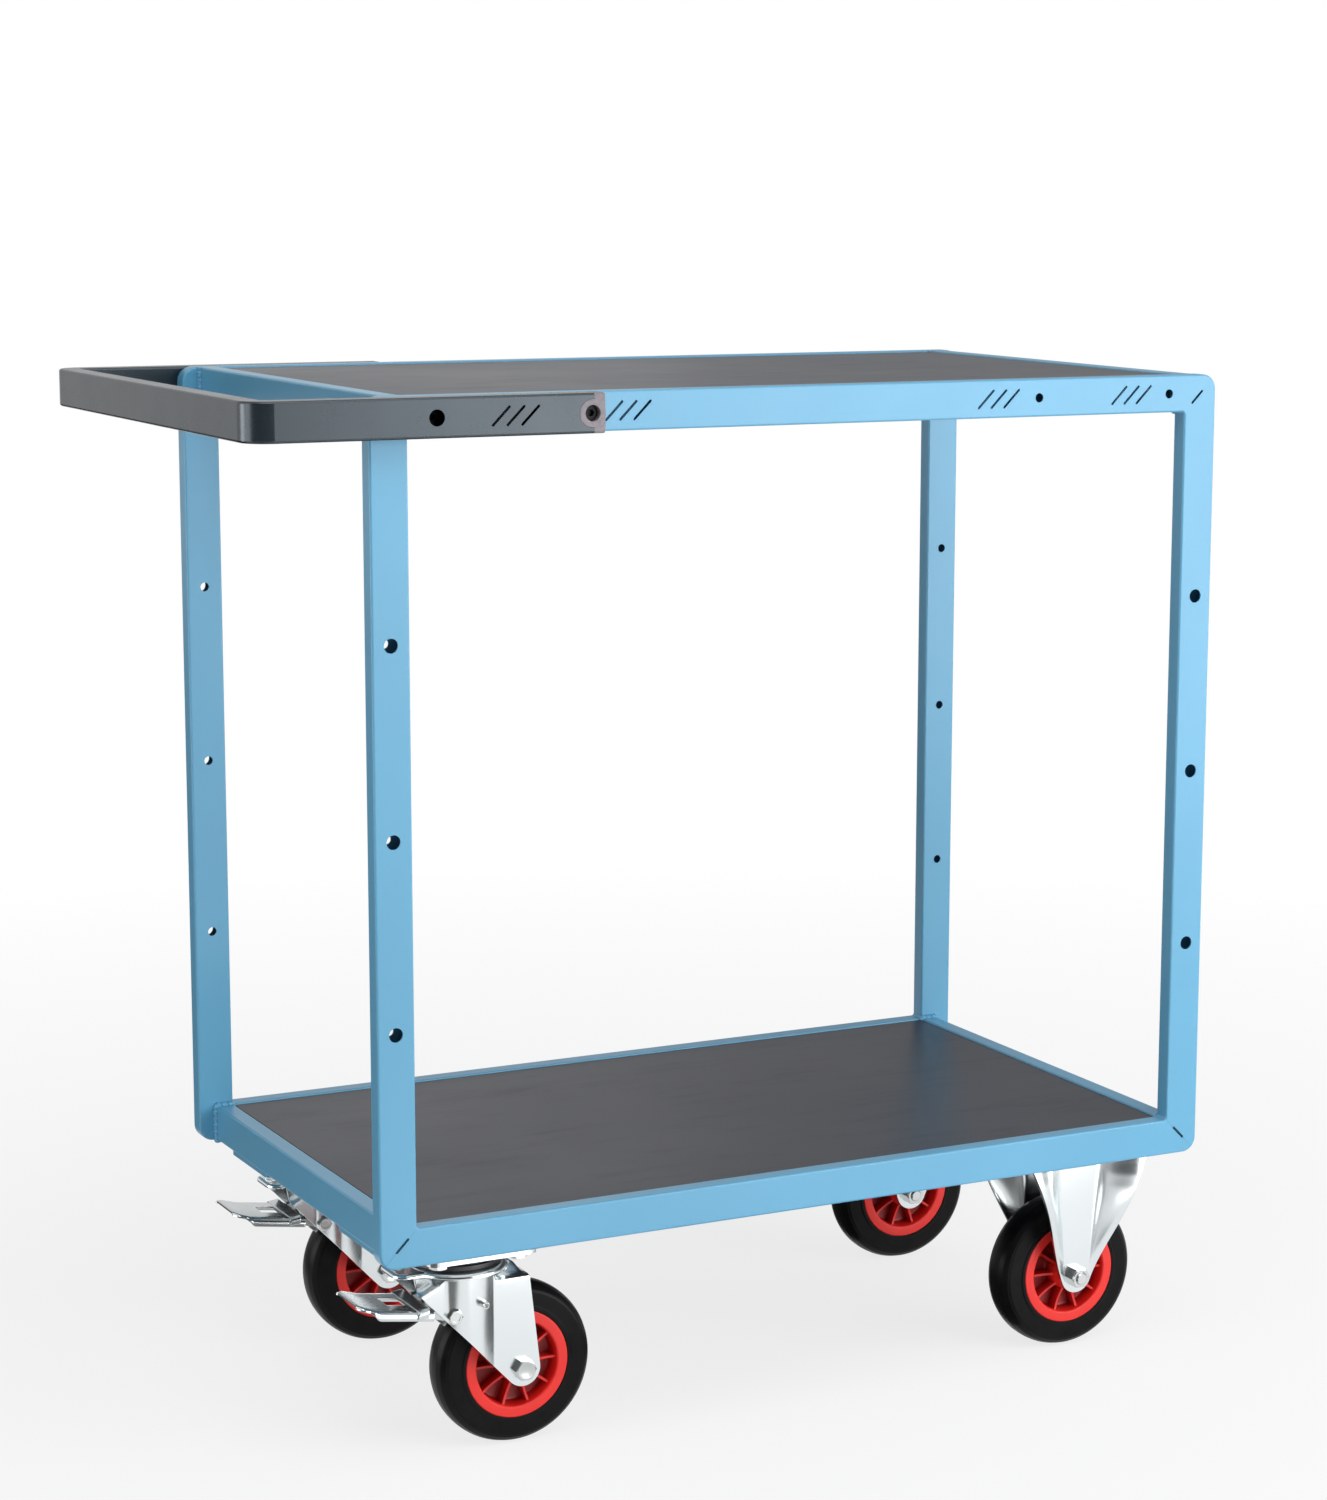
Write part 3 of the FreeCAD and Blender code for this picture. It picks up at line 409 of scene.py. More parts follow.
def slab(loop, low, high):
    """Plate across y with a convex outline (x, z): fan out at low, wall up to high, fan back."""
    loop = np.asarray(loop, float)
    middle = np.repeat(loop.mean(axis=0)[None], len(loop), axis=0)
    rows = np.stack([middle, loop, loop, middle])
    level = np.broadcast_to(np.array([low, low, high, high])[:, None], rows.shape[:2])
    grid = np.stack([rows[..., 0], level, rows[..., 1]], axis=-1)
    return grid.reshape(-1, 3), quads(4, len(loop), False, True)


print("grid of 3 by 4 has", len(quads(3, 4)), "faces; closed both ways", len(quads(3, 4, True, True)))

# %% [markdown]
# ### From grid to piece
# Points that coincide, such as those at the middle of a fan, are merged so that the mesh is closed.
# Closed shells get their normals recalculated; sheets keep the way they were laid out, because their
# thickness grows away from the side that the faces look to. Each piece then rides on its body.

# %% From grid to piece
def piece(name, shell, material, body, hides=(), sharp=38.0, sheet=0.0, edge=0.0):
    """Mesh object from (points, faces); sheet is a wall thickness and edge a bevel, in millimetres."""
    points, faces = shell
    mesh = bpy.data.meshes.new(name)
    mesh.from_pydata((points * MM).tolist(), [], faces.tolist())
    work = bmesh.new()
    work.from_mesh(mesh)
    bmesh.ops.remove_doubles(work, verts=work.verts, dist=2e-6)
    bmesh.ops.dissolve_degenerate(work, edges=work.edges, dist=1e-6)
    if not sheet:
        bmesh.ops.recalc_face_normals(work, faces=work.faces)
    work.to_mesh(mesh)
    work.free()
    mesh.shade_smooth()
    mesh.set_sharp_from_angle(angle=math.radians(sharp))
    mesh.materials.append(material)
    made = added(name, mesh)
    if sheet:
        wall = made.modifiers.new("wall", "SOLIDIFY")
        wall.thickness = sheet * MM
        wall.offset = -1.0
        wall.use_even_offset = True
    if edge:
        bevel = made.modifiers.new("edge", "BEVEL")
        bevel.width = edge * MM
        bevel.segments = 2
        bevel.angle_limit = math.radians(50.0)
    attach(made, body)
    if hides:
        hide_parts(*hides)
    return made


def shifted(shell, x, y, z=0.0):
    """Shell moved by x, y and z in millimetres."""
    return shell[0] + np.array([x, y, z]), shell[1]


SIDES = {"front": -1.0, "back": 1.0}
CASTER_Y = 168.7
SWIVEL_X, TRAIL, FIXED_X, WHEEL_R = -278.0, 54.0, 402.5, 80.0
wheel_places = {}
for side, sign in SIDES.items():
    wheel_places["swivel_" + side] = (SWIVEL_X + TRAIL, sign * CASTER_Y, WHEEL_R)
    wheel_places["fixed_" + side] = (FIXED_X, sign * CASTER_Y, WHEEL_R)
print("wheels at", wheel_places)

# %% [markdown]
# ## Wheels
# Each tyre is a solid rubber ring: a bead that grips the rim, a flat sidewall with a fine step, and a
# rounded tread. A lathe of its cross-section is the natural way to make it. The red centre is a lathe
# as well, with ten thin ribs on both sides of its web.

# %% Tyres
tread_half = [(53.0, 19.5, 0.3), (53.6, 20.0, 0.3), (56.4, 20.0, 0.5), (57.3, 19.1, 0.5), (58.4, 18.9, 0.8),
              (70.6, 18.6, 1.5), (72.6, 17.7, 0.5), (73.3, 17.7, 0.4), (77.4, 13.6, 4.5), (79.6, 7.0, 9.0),
              (80.0, 1.2, 4.0)]
tread = [(r, -h, c) for r, h, c in tread_half] + tread_half[::-1]
tyre_shell = lathe(rounded(tread, 5), 128)
for name, place in wheel_places.items():
    piece("moulded_tyre_" + name, shifted(tyre_shell, *place), tyre_rubber, "wheel_" + name,
          ["tyre_" + name], sharp=28.0)
print("tyre points:", len(tyre_shell[0]))

# %% Wheel centres
RIBS = 10


def rib_shell(count, inner, outer, steps=14):
    """Ribs through the web: height 15 + 3 (1 - s)^2 - 1.2 sin(pi s), half thickness 1.65 - 0.5 q.

    s runs from the hub to the ring, q from the web to the rib's edge; the loop around a rib is a thin
    hexagon, and its first and last rows shrink to a point to close it.
    """
    s = np.linspace(0.0, 1.0, steps)
    radius = inner + (outer - inner) * s
    height = 15.0 + 3.0 * (1.0 - s) ** 2 - 1.2 * np.sin(np.pi * s)
    loop = rounded([(-1.15, -1.0, 0.0), (1.15, -1.0, 0.0), (1.65, 0.0, 0.0), (1.15, 1.0, 0.0),
                    (-1.15, 1.0, 0.0), (-1.65, 0.0, 0.0)], 2)
    x = np.repeat(radius[:, None], len(loop), axis=1)
    y = height[:, None] * loop[None, :, 1]
    z = np.repeat(loop[None, :, 0], steps, axis=0)
    body = np.stack([x, y, z], axis=-1)
    ends = [np.repeat(body[i].mean(axis=0)[None], len(loop), axis=0)[None] for i in (0, -1)]
    body = np.concatenate([ends[0], body, ends[1]])
    t = np.linspace(0.0, 2 * np.pi, count, endpoint=False)
    cos, sin = np.cos(t)[:, None, None], np.sin(t)[:, None, None]
    x, y, z = body[..., 0][None], body[..., 1][None], body[..., 2][None]
    spun = np.stack([x * cos - z * sin, y + 0 * cos, x * sin + z * cos], axis=-1)
    faces = quads(steps + 2, len(loop), False, True)
    size = (steps + 2) * len(loop)
    every = (faces[None] + size * np.arange(count)[:, None, None]).reshape(-1, 4)
    return spun.reshape(-1, 3), every


ring_half = [(10.0, 29.7, 0.0), (17.2, 29.7, 1.2), (18.4, 2.6, 2.4), (40.8, 2.6, 2.4), (42.2, 18.8, 0.4),
             (43.4, 20.0, 0.9), (52.2, 20.0, 0.7), (53.0, 19.2, 0.3)]
ring = [(r, -h, c) for r, h, c in ring_half] + ring_half[::-1]
rim_shell = joined(lathe(rounded(ring, 5), 120), rib_shell(RIBS, 16.0, 43.0))
for name, place in wheel_places.items():
    piece("moulded_rim_" + name, shifted(rim_shell, *place), rim_plastic, "wheel_" + name,
          ["rim_" + name], sharp=32.0)
print("rim points:", len(rim_shell[0]))

# %% [markdown]
# ## Swivel casters
# The fork is one pressed sheet: a crown, two cheeks that bulge under the swivel head, and a flat strip
# down to the axle behind a vertical crease. A cheek is a four-sided patch blended between its four
# edges, and the sheet's sideways place is a formula of height and length.

# %% Patches
def along(points, count):
    """Points evenly spaced by length along a line through the given points."""
    points = np.asarray(points, float)
    run = np.r_[0.0, np.cumsum(np.linalg.norm(np.diff(points, axis=0), axis=1))]
    at = np.linspace(0.0, run[-1], count)
    return np.stack([np.interp(at, run, points[:, i]) for i in range(points.shape[1])], axis=1)


def coons(top, bottom, left, right):
    """Coons patch: rule top to bottom, add rule left to right, take away the corners' bilinear blend."""
    s = np.linspace(0.0, 1.0, len(top))[None, :, None]
    t = np.linspace(0.0, 1.0, len(left))[:, None, None]
    rule = (1 - t) * top[None] + t * bottom[None]
    cross = (1 - s) * left[:, None] + s * right[:, None]
    blend = (1 - t) * ((1 - s) * top[0] + s * top[-1]) + t * ((1 - s) * bottom[0] + s * bottom[-1])
    return rule + cross - blend


def touch(point, centre, radius, way):
    """Angle on a circle where a line from a point touches it: direction to the point +- acos(r / d)."""
    gap = np.subtract(point, centre)
    return math.atan2(gap[1], gap[0]) + way * math.acos(radius / np.hypot(*gap))


def arc(centre, radius, start, stop, count=40):
    """Points on a circle from one angle to another, in radians."""
    t = np.linspace(start, stop, count)
    return np.stack([centre[0] + radius * np.cos(t), centre[1] + radius * np.sin(t)], axis=1)


def bent_in(outer, depth, bend):
    """Distance of a sheet from the middle plane where it rolls over a top edge of the bend radius."""
    d = np.clip(depth, 0.0, bend)
    return outer - bend + np.sqrt(bend ** 2 - (bend - d) ** 2)


def saddle(cheek, outer, top_z, bend, rise=0.0, flat=20.0, rows=33):
    """Sheet over the wheel: front cheek from its foot up, across the crown, and down the back cheek.

    cheek holds (x, z) rows from the top down, outer the sheet's distance from the middle plane. The
    crown rises from its edge at y = w to its flat middle by rise (1 - smooth((|y| - flat) / (w - flat))).
    """
    out = bent_in(outer, top_z - cheek[..., 1], bend)
    front = np.stack([cheek[..., 0], -out, cheek[..., 1]], axis=-1)
    back = front * np.array([1.0, -1.0, 1.0])
    mix = np.linspace(0.0, 1.0, rows)[1:-1, None, None]
    crown = front[0][None] * (1 - mix) + back[0][None] * mix
    crown[..., 2] += rise * (1.0 - smooth((np.abs(crown[..., 1]) - flat) / np.maximum(out[0] - flat, 1.0)))
    grid = np.concatenate([front[::-1], crown, back])
    return grid.reshape(-1, 3), quads(grid.shape[0], grid.shape[1])


print("patch check:", coons(along([(0, 1), (1, 1)], 3), along([(0, 0), (1, 0)], 3),
                            along([(0, 1), (0, 0)], 3), along([(1, 1), (1, 0)], 3))[1, 1])

# %% Swivel fork
CHEEK, SHEET, BOSS = 33.9, 3.5, 17.5
CROWN_TOP, EAR_DROP = 185.0, 12.5
PIVOT = (-18.05, 143.29)
LIP, BROW, CROWN_START = (-52.05, 167.5), (-31.05, 177.0), -22.05
CREASE, EAR_START, EAR_END, EAR_LOW = 21.6, 27.0, 61.0, 140.0
PILLAR, LIP_SOFT, CREASE_SOFT = 41.2, 1.8, 0.25


def plain_edge(x):
    """Height of a cheek's blank before the ear is set down: a slanted lip, the crown and a long slope."""
    return np.interp(x, [LIP[0], BROW[0], CROWN_START, CREASE, EAR_END],
                     [LIP[1], BROW[1], CROWN_TOP, CROWN_TOP, CROWN_TOP - EAR_DROP])


def top_edge(x):
    """Height of a cheek's upper edge: as its blank up to the crease, then a step down to the level ear."""
    step = EAR_DROP * smooth((x - CREASE) / (EAR_START - CREASE))
    return np.where(x < CREASE, plain_edge(x), CROWN_TOP - step)


def swivel_fork_shell():
    """Cheek patch from crown to axle, pressed out where a cylinder about the king pin passes through it.

    The cylinder stands out by b = sqrt(PILLAR^2 - x^2) - CHEEK, and (b + sqrt(b^2 + k^2)) / 2 joins it to
    the flat, with k large for a soft lip and small for a sharp crease. The blank's patch is squeezed
    above EAR_LOW until its upper edge lies on the real one. The crown rises from the cheeks' edges to
    CROWN_TOP, and falls again over the ear's last 15 mm.
    """
    axle = (TRAIL, WHEEL_R)
    ear = (EAR_END, CROWN_TOP - EAR_DROP)
    foot = arc(axle, BOSS, touch(LIP, axle, BOSS, 1), touch(ear, axle, BOSS, -1) + 2 * math.pi)
    across = np.linspace(LIP[0], EAR_END, 400)
    top = along(np.stack([across, plain_edge(across)], axis=1), 150)
    grid = coons(top, along(foot, 150), along([LIP, foot[0]], 64), along([ear, foot[-1]], 64))
    x, z = grid[..., 0], grid[..., 1]
    squeeze = (top_edge(x) - EAR_LOW) / (plain_edge(x) - EAR_LOW)
    z[:] = np.where(z > EAR_LOW, EAR_LOW + (z - EAR_LOW) * squeeze, z)
    top = grid[0]
    b = np.sqrt(np.maximum(PILLAR ** 2 - x ** 2, 0.0)) - CHEEK
    bulge = (b + np.sqrt(b ** 2 + np.where(x < 0.0, LIP_SOFT, CREASE_SOFT) ** 2)) / 2
    crown = CROWN_TOP - EAR_DROP * smooth((top[:, 0] - EAR_END + 15.0) / 15.0)
    return saddle(grid, CHEEK + bulge, top_edge(x), 4.0, crown - top[:, 1])


def crown_dish_shell():
    """Round dish about the king pin: flat to r = 44, then rolled down by a quarter circle of 5 mm."""
    roll = np.linspace(0.0, np.pi / 2, 9)
    r = np.r_[7.3, 20.0, 34.0, 44.0 + 5.0 * np.sin(roll), 49.0][:, None]
    z = np.r_[1.5, 1.5, 1.5, 1.5 - 5.0 * (1.0 - np.cos(roll)), -4.5][:, None]
    t = np.linspace(0.0, 2 * np.pi, 144, endpoint=False)
    grid = np.stack([r * np.cos(t), r * np.sin(t), CROWN_TOP + z + 0 * t], axis=-1)
    return grid.reshape(-1, 3), quads(len(r), len(t), False, True)[:, ::-1]


def tongue_shell():
    """Flat tongue towards the pedal with round corners, rolled edges and a pressed dimple.

    Its half width is 12 + sqrt(144 - d^2) over the last 12 mm; edges drop by 4 (1 - sqrt(1 - q^2))
    over their outer 4 mm, and the dimple sinks 1.3 mm within a radius of 6.
    """
    out = np.r_[np.linspace(38.0, 58.0, 12), 59.0 + 12.0 * np.sin(np.linspace(0.0, np.pi / 2, 10))]
    half = 12.0 + np.sqrt(np.maximum(144.0 - np.maximum(out - 59.0, 0.0) ** 2, 0.0))
    share = np.sin(np.linspace(-np.pi / 2, np.pi / 2, 25))
    u, y = out[:, None] + 0 * share, half[:, None] * share
    inside = np.minimum(half[:, None] - np.abs(y), 71.0 - u)
    q = np.clip(1.0 - inside / 4.0, 0.0, 1.0)
    z = CROWN_TOP + 0.8 - 4.0 * (1.0 - np.sqrt(1.0 - q * q))
    z -= 1.3 * (1.0 - smooth(np.hypot(u - 61.0, y) / 6.0))
    grid = np.stack([-u, y, z], axis=-1)
    return grid.reshape(-1, 3), quads(*u.shape)


fork_shell = joined(swivel_fork_shell(), crown_dish_shell(), tongue_shell())
for side, sign in SIDES.items():
    piece("pressed_swivel_fork_" + side, shifted(fork_shell, SWIVEL_X, sign * CASTER_Y), zinc_steel,
          "swivel_" + side, ["swivel_fork_" + side], sharp=30.0, sheet=SHEET, edge=0.3)
print("swivel fork points:", len(fork_shell[0]))

# %% [markdown]
# The bearing between the crown and the fixed plate is a stack of rings around the balls: a lower
# race that sits in the dish, a narrow gap, and a cover. One turned profile shows all three. Their
# dark tone is painted shade for the narrow space under the plate.

# %% Swivel bearing
cover = [(31.0, 186.2, 0.0), (41.5, 186.2, 0.6), (43.2, 188.4, 1.0), (43.2, 192.4, 0.6), (41.0, 193.4, 0.4),
         (41.0, 194.6, 0.4), (43.9, 196.0, 0.8), (43.9, 203.0, 0.8), (31.0, 203.7, 0.0)]
bearing_shell = lathe(rounded(cover, 5), 96, "z")
for side, sign in SIDES.items():
    piece("turned_bearing_" + side, shifted(bearing_shell, SWIVEL_X, sign * CASTER_Y), bearing_steel,
          "swivel_" + side, ["bearing_ring_" + side], sharp=30.0)
print("bearing points:", len(bearing_shell[0]))

# %% [markdown]
# ## Brake pedals
# The pedal is pressed from one sheet: a flat tread with a window, both long edges rolled down, and a
# nose that curls up a little. Its cross-section is a flat, two quarter-rounds and two flanges whose
# depth fades out before the nose. Arms to the pivot pin and the shoe near the tyre finish it.

# %% Pedal
PEDAL_TILT, PEDAL_TRAVEL = math.radians(8.4), math.radians(15.0)
PEDAL_HALF, PEDAL_LENGTH, PEDAL_RISE, FLANGE = 32.0, 95.0, 1.5, 6.8
WINDOW = (38.0, 59.0, 11.0)


def on_pedal(a, b, c):
    """Point of the caster from pedal places: a out from the pivot, b across, c up from the tread."""
    cos, sin = math.cos(PEDAL_TILT), math.sin(PEDAL_TILT)
    return np.stack([PIVOT[0] - a * cos + c * sin, b + 0 * a, PIVOT[1] + a * sin + c * cos], axis=-1)


def pedal_tread_shell():
    """Tread of stations a and a section (b, c); faces inside the window are left out.

    A section is a flat, a quarter-round of min(4, 0.7 depth) and a flange. Its depth falls from FLANGE to
    1 by smooth((82 - a) / 9), its half width narrows by 2.2 after a = 78 and by 7 smooth((a - 86) / 9)^2
    at the nose, and it lifts by 3.5 smooth((a - 66) / 34)^1.5.
    """
    a = np.unique(np.r_[np.linspace(19.0, 68.0, 26), np.linspace(68.0, PEDAL_LENGTH, 32), WINDOW[:2]])
    nose = smooth((a - 78.0) / 5.0)
    half = PEDAL_HALF - 2.2 * nose - 7.0 * smooth((a - 86.0) / 9.0) ** 2
    depth = 1.0 + (FLANGE - 1.0) * smooth((82.0 - a) / 9.0)
    roll = np.minimum(4.0, 0.7 * depth)
    turn = np.linspace(0.0, np.pi / 2, 7)
    flat = np.unique(np.r_[np.linspace(0.0, 1.0, 9), WINDOW[2] / (PEDAL_HALF - 4.0)])
    half, depth, roll = half[:, None], depth[:, None], roll[:, None]
    b = np.concatenate([(half - roll) * flat, half - roll + roll * np.sin(turn[1:]),
                        np.repeat(half, 3, axis=1)], axis=1)
    drop = np.linspace(0.0, 1.0, 4)[1:]
    c = np.concatenate([0 * half * flat, -roll * (1 - np.cos(turn[1:])),
                        -roll - (depth - roll) * drop], axis=1)
    c = c + (PEDAL_RISE + 3.5 * smooth((a - 66.0) / 34.0) ** 1.5)[:, None]
    full_b = np.concatenate([-b[:, :0:-1], b], axis=1)
    full_c = np.concatenate([c[:, :0:-1], c], axis=1)
    full_a = np.repeat(a[:, None], full_b.shape[1], axis=1)
    grid = on_pedal(full_a, full_b, full_c)
    faces = quads(*full_a.shape)[:, ::-1]
    mid_a = full_a.ravel()[faces].mean(axis=1)
    mid_b = np.abs(full_b.ravel()[faces].mean(axis=1))
    hole = (mid_a > WINDOW[0]) & (mid_a < WINDOW[1]) & (mid_b < WINDOW[2])
    return grid.reshape(-1, 3), faces[~hole]


def on_pedal_shell(loop, low, high):
    """Slab with an outline in (a, c), from low to high across the pedal, set on the caster."""
    points, faces = slab(loop, low, high)
    return on_pedal(points[:, 0], points[:, 1], points[:, 2]), faces


def turned_back(points, centre, angle):
    """Points (x, z) turned about a centre by an angle in radians, clockwise seen from the front."""
    cos, sin = math.cos(angle), math.sin(angle)
    u, v = (np.asarray(points, float) - centre).T
    return np.stack([centre[0] + u * cos + v * sin, centre[1] - u * sin + v * cos], axis=1)


def shoe_shells():
    """Curved shoe that lies 0.6 mm off the tyre when the pedal is down, and the web that carries it.

    Both are drawn at the braked place around the wheel and turned back about the pivot by the travel.
    """
    wheel = (TRAIL, WHEEL_R)
    turn = np.radians([139.0, 145.0])
    shoe = np.vstack([arc(wheel, WHEEL_R + 0.6, *turn, 9), arc(wheel, WHEEL_R + 3.0, *turn[::-1], 9)])
    web = np.vstack([arc(wheel, WHEEL_R + 2.6, *np.radians([140.5, 143.5]), 3),
                     [(-14.5, 143.0), (-18.0, 143.0)]])
    outlines = [(shoe, 9.0), (web, 5.0)]
    return [slab(turned_back(loop, PIVOT, PEDAL_TRAVEL), -half, half) for loop, half in outlines]


def pedal_inner_shells():
    """Two arms from the tread to eyes around the pivot pin, a sleeve between them, and the shoe."""
    arm = rounded([(2.0, -6.4, 0.8), (24.0, -4.0, 0.8), (24.0, 1.1, 0.8), (2.0, 6.4, 0.8)], 4)
    eye = arc((0.0, 0.0), 7.5, 0.0, 2 * math.pi, 40)[:-1]
    sleeve = arc((0.0, 0.0), 6.2, 0.0, 2 * math.pi, 32)[:-1]
    shells = [on_pedal_shell(sleeve, -27.0, 27.0)] + shoe_shells()
    for sign in SIDES.values():
        low, high = sorted((sign * 29.5, sign * 26.5))
        shells += [on_pedal_shell(arm, low, high), on_pedal_shell(eye, low, high)]
    neck = rounded([(17.0, -1.5, 0.3), (24.0, -1.5, 0.3), (24.0, 1.3, 0.3), (17.0, 1.3, 0.3)], 3)
    return shells + [on_pedal_shell(neck, -29.4, 29.4)]


tread_shell = pedal_tread_shell()
inner_shell = joined(*pedal_inner_shells())
for side, sign in SIDES.items():
    place = (SWIVEL_X, sign * CASTER_Y)
    piece("pressed_pedal_" + side, shifted(tread_shell, *place), pedal_zinc_painted_shade, "brake_" + side,
          ["pedal_" + side], sharp=35.0, sheet=2.4, edge=0.5)
    piece("pedal_ears_" + side, shifted(inner_shell, *place), pedal_zinc_painted_shade, "brake_" + side)
print("pedal points:", len(tread_shell[0]), "ears and shoe:", len(inner_shell[0]))

# %% Pedal strap
def strap_shell():
    """Band across the pedal that stands up towards the fork: flat, a quarter-round of 3 mm, then a side.

    At share q from its outer to its inner edge its top is 2.6 + 3.2 q and its foot -3.8 + 2.2 q.
    """
    q = np.linspace(0.0, 1.0, 9)[:, None]
    top, foot = 2.6 + 3.2 * q, -3.8 + 2.2 * q
    turn = np.linspace(0.0, np.pi / 2, 8)[1:]
    b = np.r_[np.linspace(0.0, 31.2, 8), 31.2 + 3.0 * np.sin(turn), np.full(4, 34.2)]
    down = np.linspace(0.0, 1.0, 5)[1:]
    c = np.concatenate([top + np.zeros(8), top - 3.0 * (1 - np.cos(turn)),
                        (top - 3.0) * (1 - down) + foot * down], axis=1)
    b, c = np.r_[-b[:0:-1], b], np.concatenate([c[:, :0:-1], c], axis=1)
    a = 36.0 - 11.0 * q + 0 * b
    grid = on_pedal(a, b + 0 * q, c)
    return grid.reshape(-1, 3), quads(*a.shape)


band = strap_shell()
for side, sign in SIDES.items():
    piece("folded_strap_" + side, shifted(band, SWIVEL_X, sign * CASTER_Y), pedal_zinc_painted_shade, "brake_" + side,
          ["pedal_strap_" + side], sheet=1.8, edge=0.5)
print("strap points:", len(band[0]))

# %% [markdown]
# ## Fixed casters
# The fixed fork is a single deep pressing. A flat strip runs from the axle straight up to the plate, and
# on both sides of it the sheet flares out into wings that stiffen the leg and carry the plate's corners.
# The leg is the same kind of patch as the swivel fork's cheek, with the wings in its sideways formula.

# %% Fixed fork
PLATE_TOP, PLATE_BOTTOM, RIGID_HALF = 209.5, 204.5, 68.0


def fixed_fork_shell():
    """Leg patch from the plate to the axle, with wings of width 25 smooth((z - 72) / 105).

    The width ends 2 less at the plate. The strip's half width is 13.2 + 0.079 (z - 80). A wing at share q
    of the way from the strip to the leg's edge stands out by 1 - (1 - q)^1.6 of its width, blended into
    the strip by a short soft bend.
    """
    axle = (0.0, WHEEL_R)
    first = touch((-RIGID_HALF, PLATE_BOTTOM), axle, BOSS, 1)
    last = touch((RIGID_HALF, PLATE_BOTTOM), axle, BOSS, -1)
    foot = along(arc(axle, BOSS, first, last + 2 * math.pi), 120)
    top = along([(-RIGID_HALF, PLATE_TOP), (RIGID_HALF, PLATE_TOP)], 120)
    left = along([(-RIGID_HALF, PLATE_TOP), (-RIGID_HALF, PLATE_BOTTOM), foot[0]], 80)
    right = along([(RIGID_HALF, PLATE_TOP), (RIGID_HALF, PLATE_BOTTOM), foot[-1]], 80)
    grid = coons(top, foot, left, right)
    x, z = grid[..., 0], grid[..., 1]
    edge = np.interp(z, [foot[0][1], PLATE_BOTTOM], [abs(foot[0][0]), RIGID_HALF])
    strip = 13.2 + 0.079 * (z - 80.0)
    q = np.clip((np.abs(x) - strip) / np.maximum(edge - strip, 3.0), 0.0, 1.0)
    wing = smooth(q / 0.22) * (1.0 - (1.0 - q) ** 1.6)
    flare = 25.0 * smooth((z - 72.0) / 105.0) - 2.0 * smooth((z - 186.0) / 20.0)
    return saddle(grid, CHEEK + flare * wing, np.full_like(z, PLATE_TOP), 7.0)


rigid_shell = fixed_fork_shell()
for side, sign in SIDES.items():
    piece("pressed_fixed_fork_" + side, shifted(rigid_shell, FIXED_X, sign * CASTER_Y), zinc_steel,
          "chassis", ["fixed_fork_" + side], sharp=30.0, sheet=SHEET, edge=0.5)
print("fixed fork points:", len(rigid_shell[0]))

# %% [markdown]
# ## Fasteners
# A bought bolt head is a hexagon whose corners are cut by a cone, and that curved cut is what catches
# the light. The outline of a hexagon in polar form gives the flats, and the cone lowers the upper edge
# where the outline reaches further out. A nut has the bolt's end standing out of it.

# %% Hexagons
def hex_shell(across, low, high, place, end=0.0, shank=0.0, axis="y"):
    """Hexagon from low to high whose upper corners are cut by a 30 degree cone, closed by its rings.

    The outline is r = a / cos(t mod 60 - 30 degrees), with a half the width across flats; the cone
    starts at 0.93 a on the upper face, so the edge lies (r - 0.93 a) tan 30 below it. A head has a
    shallow dish on top, and a nut the chamfered end of a bolt that stands out by end.
    """
    t = np.linspace(0.0, 2 * np.pi, 72, endpoint=False)
    a, up = across / 2, np.sign(high - low)
    r = a / np.cos(t % (np.pi / 3) - np.pi / 6)
    c = 0.93 * a
    rings = [(0 * t, low), (r, low), (r, high - up * (r - c) * math.tan(math.pi / 6)), (c, high)]
    if end:
        rings += [(shank + 0.9, high), (shank, high - 0.8 * up), (shank, high + up * (end - 0.9)),
                  (shank - 0.9, high + up * end), (0.0, high + up * end)]
    else:
        rings += [(0.70 * c, high), (0.62 * c, high - 0.3 * up), (0.0, high - 0.3 * up)]
    radius = np.stack([ring + 0 * t for ring, _ in rings])
    level = np.stack([height + 0 * t for _, height in rings])
    u, v = radius * np.cos(t), radius * np.sin(t)
    grid = np.stack([u, level, v] if axis == "y" else [u, v, level], axis=-1) + np.asarray(place)
    return grid.reshape(-1, 3), quads(len(rings), len(t), False, True)


AXLE_HEX, PLATE_HEX, PIN_HEX = 19.0, 17.0, 13.0
MOUNT_TOP = 214.5
BOLT_SPREAD = {SWIVEL_X: (40.0, 52.5), FIXED_X: (52.5, 35.0)}
CORNERS = ((-1.0, -1.0), (-1.0, 1.0), (1.0, -1.0), (1.0, 1.0))


def axle_set(x, y, facing):
    """Axle bolt with its head on the side facing, 1 for the back, and its nut on the other."""
    place = (x, y, WHEEL_R)
    return joined(hex_shell(AXLE_HEX, facing * CHEEK, facing * (CHEEK + 8.0), place),
                  hex_shell(AXLE_HEX, -facing * CHEEK, -facing * (CHEEK + 10.0), place, 2.0, 6.0))


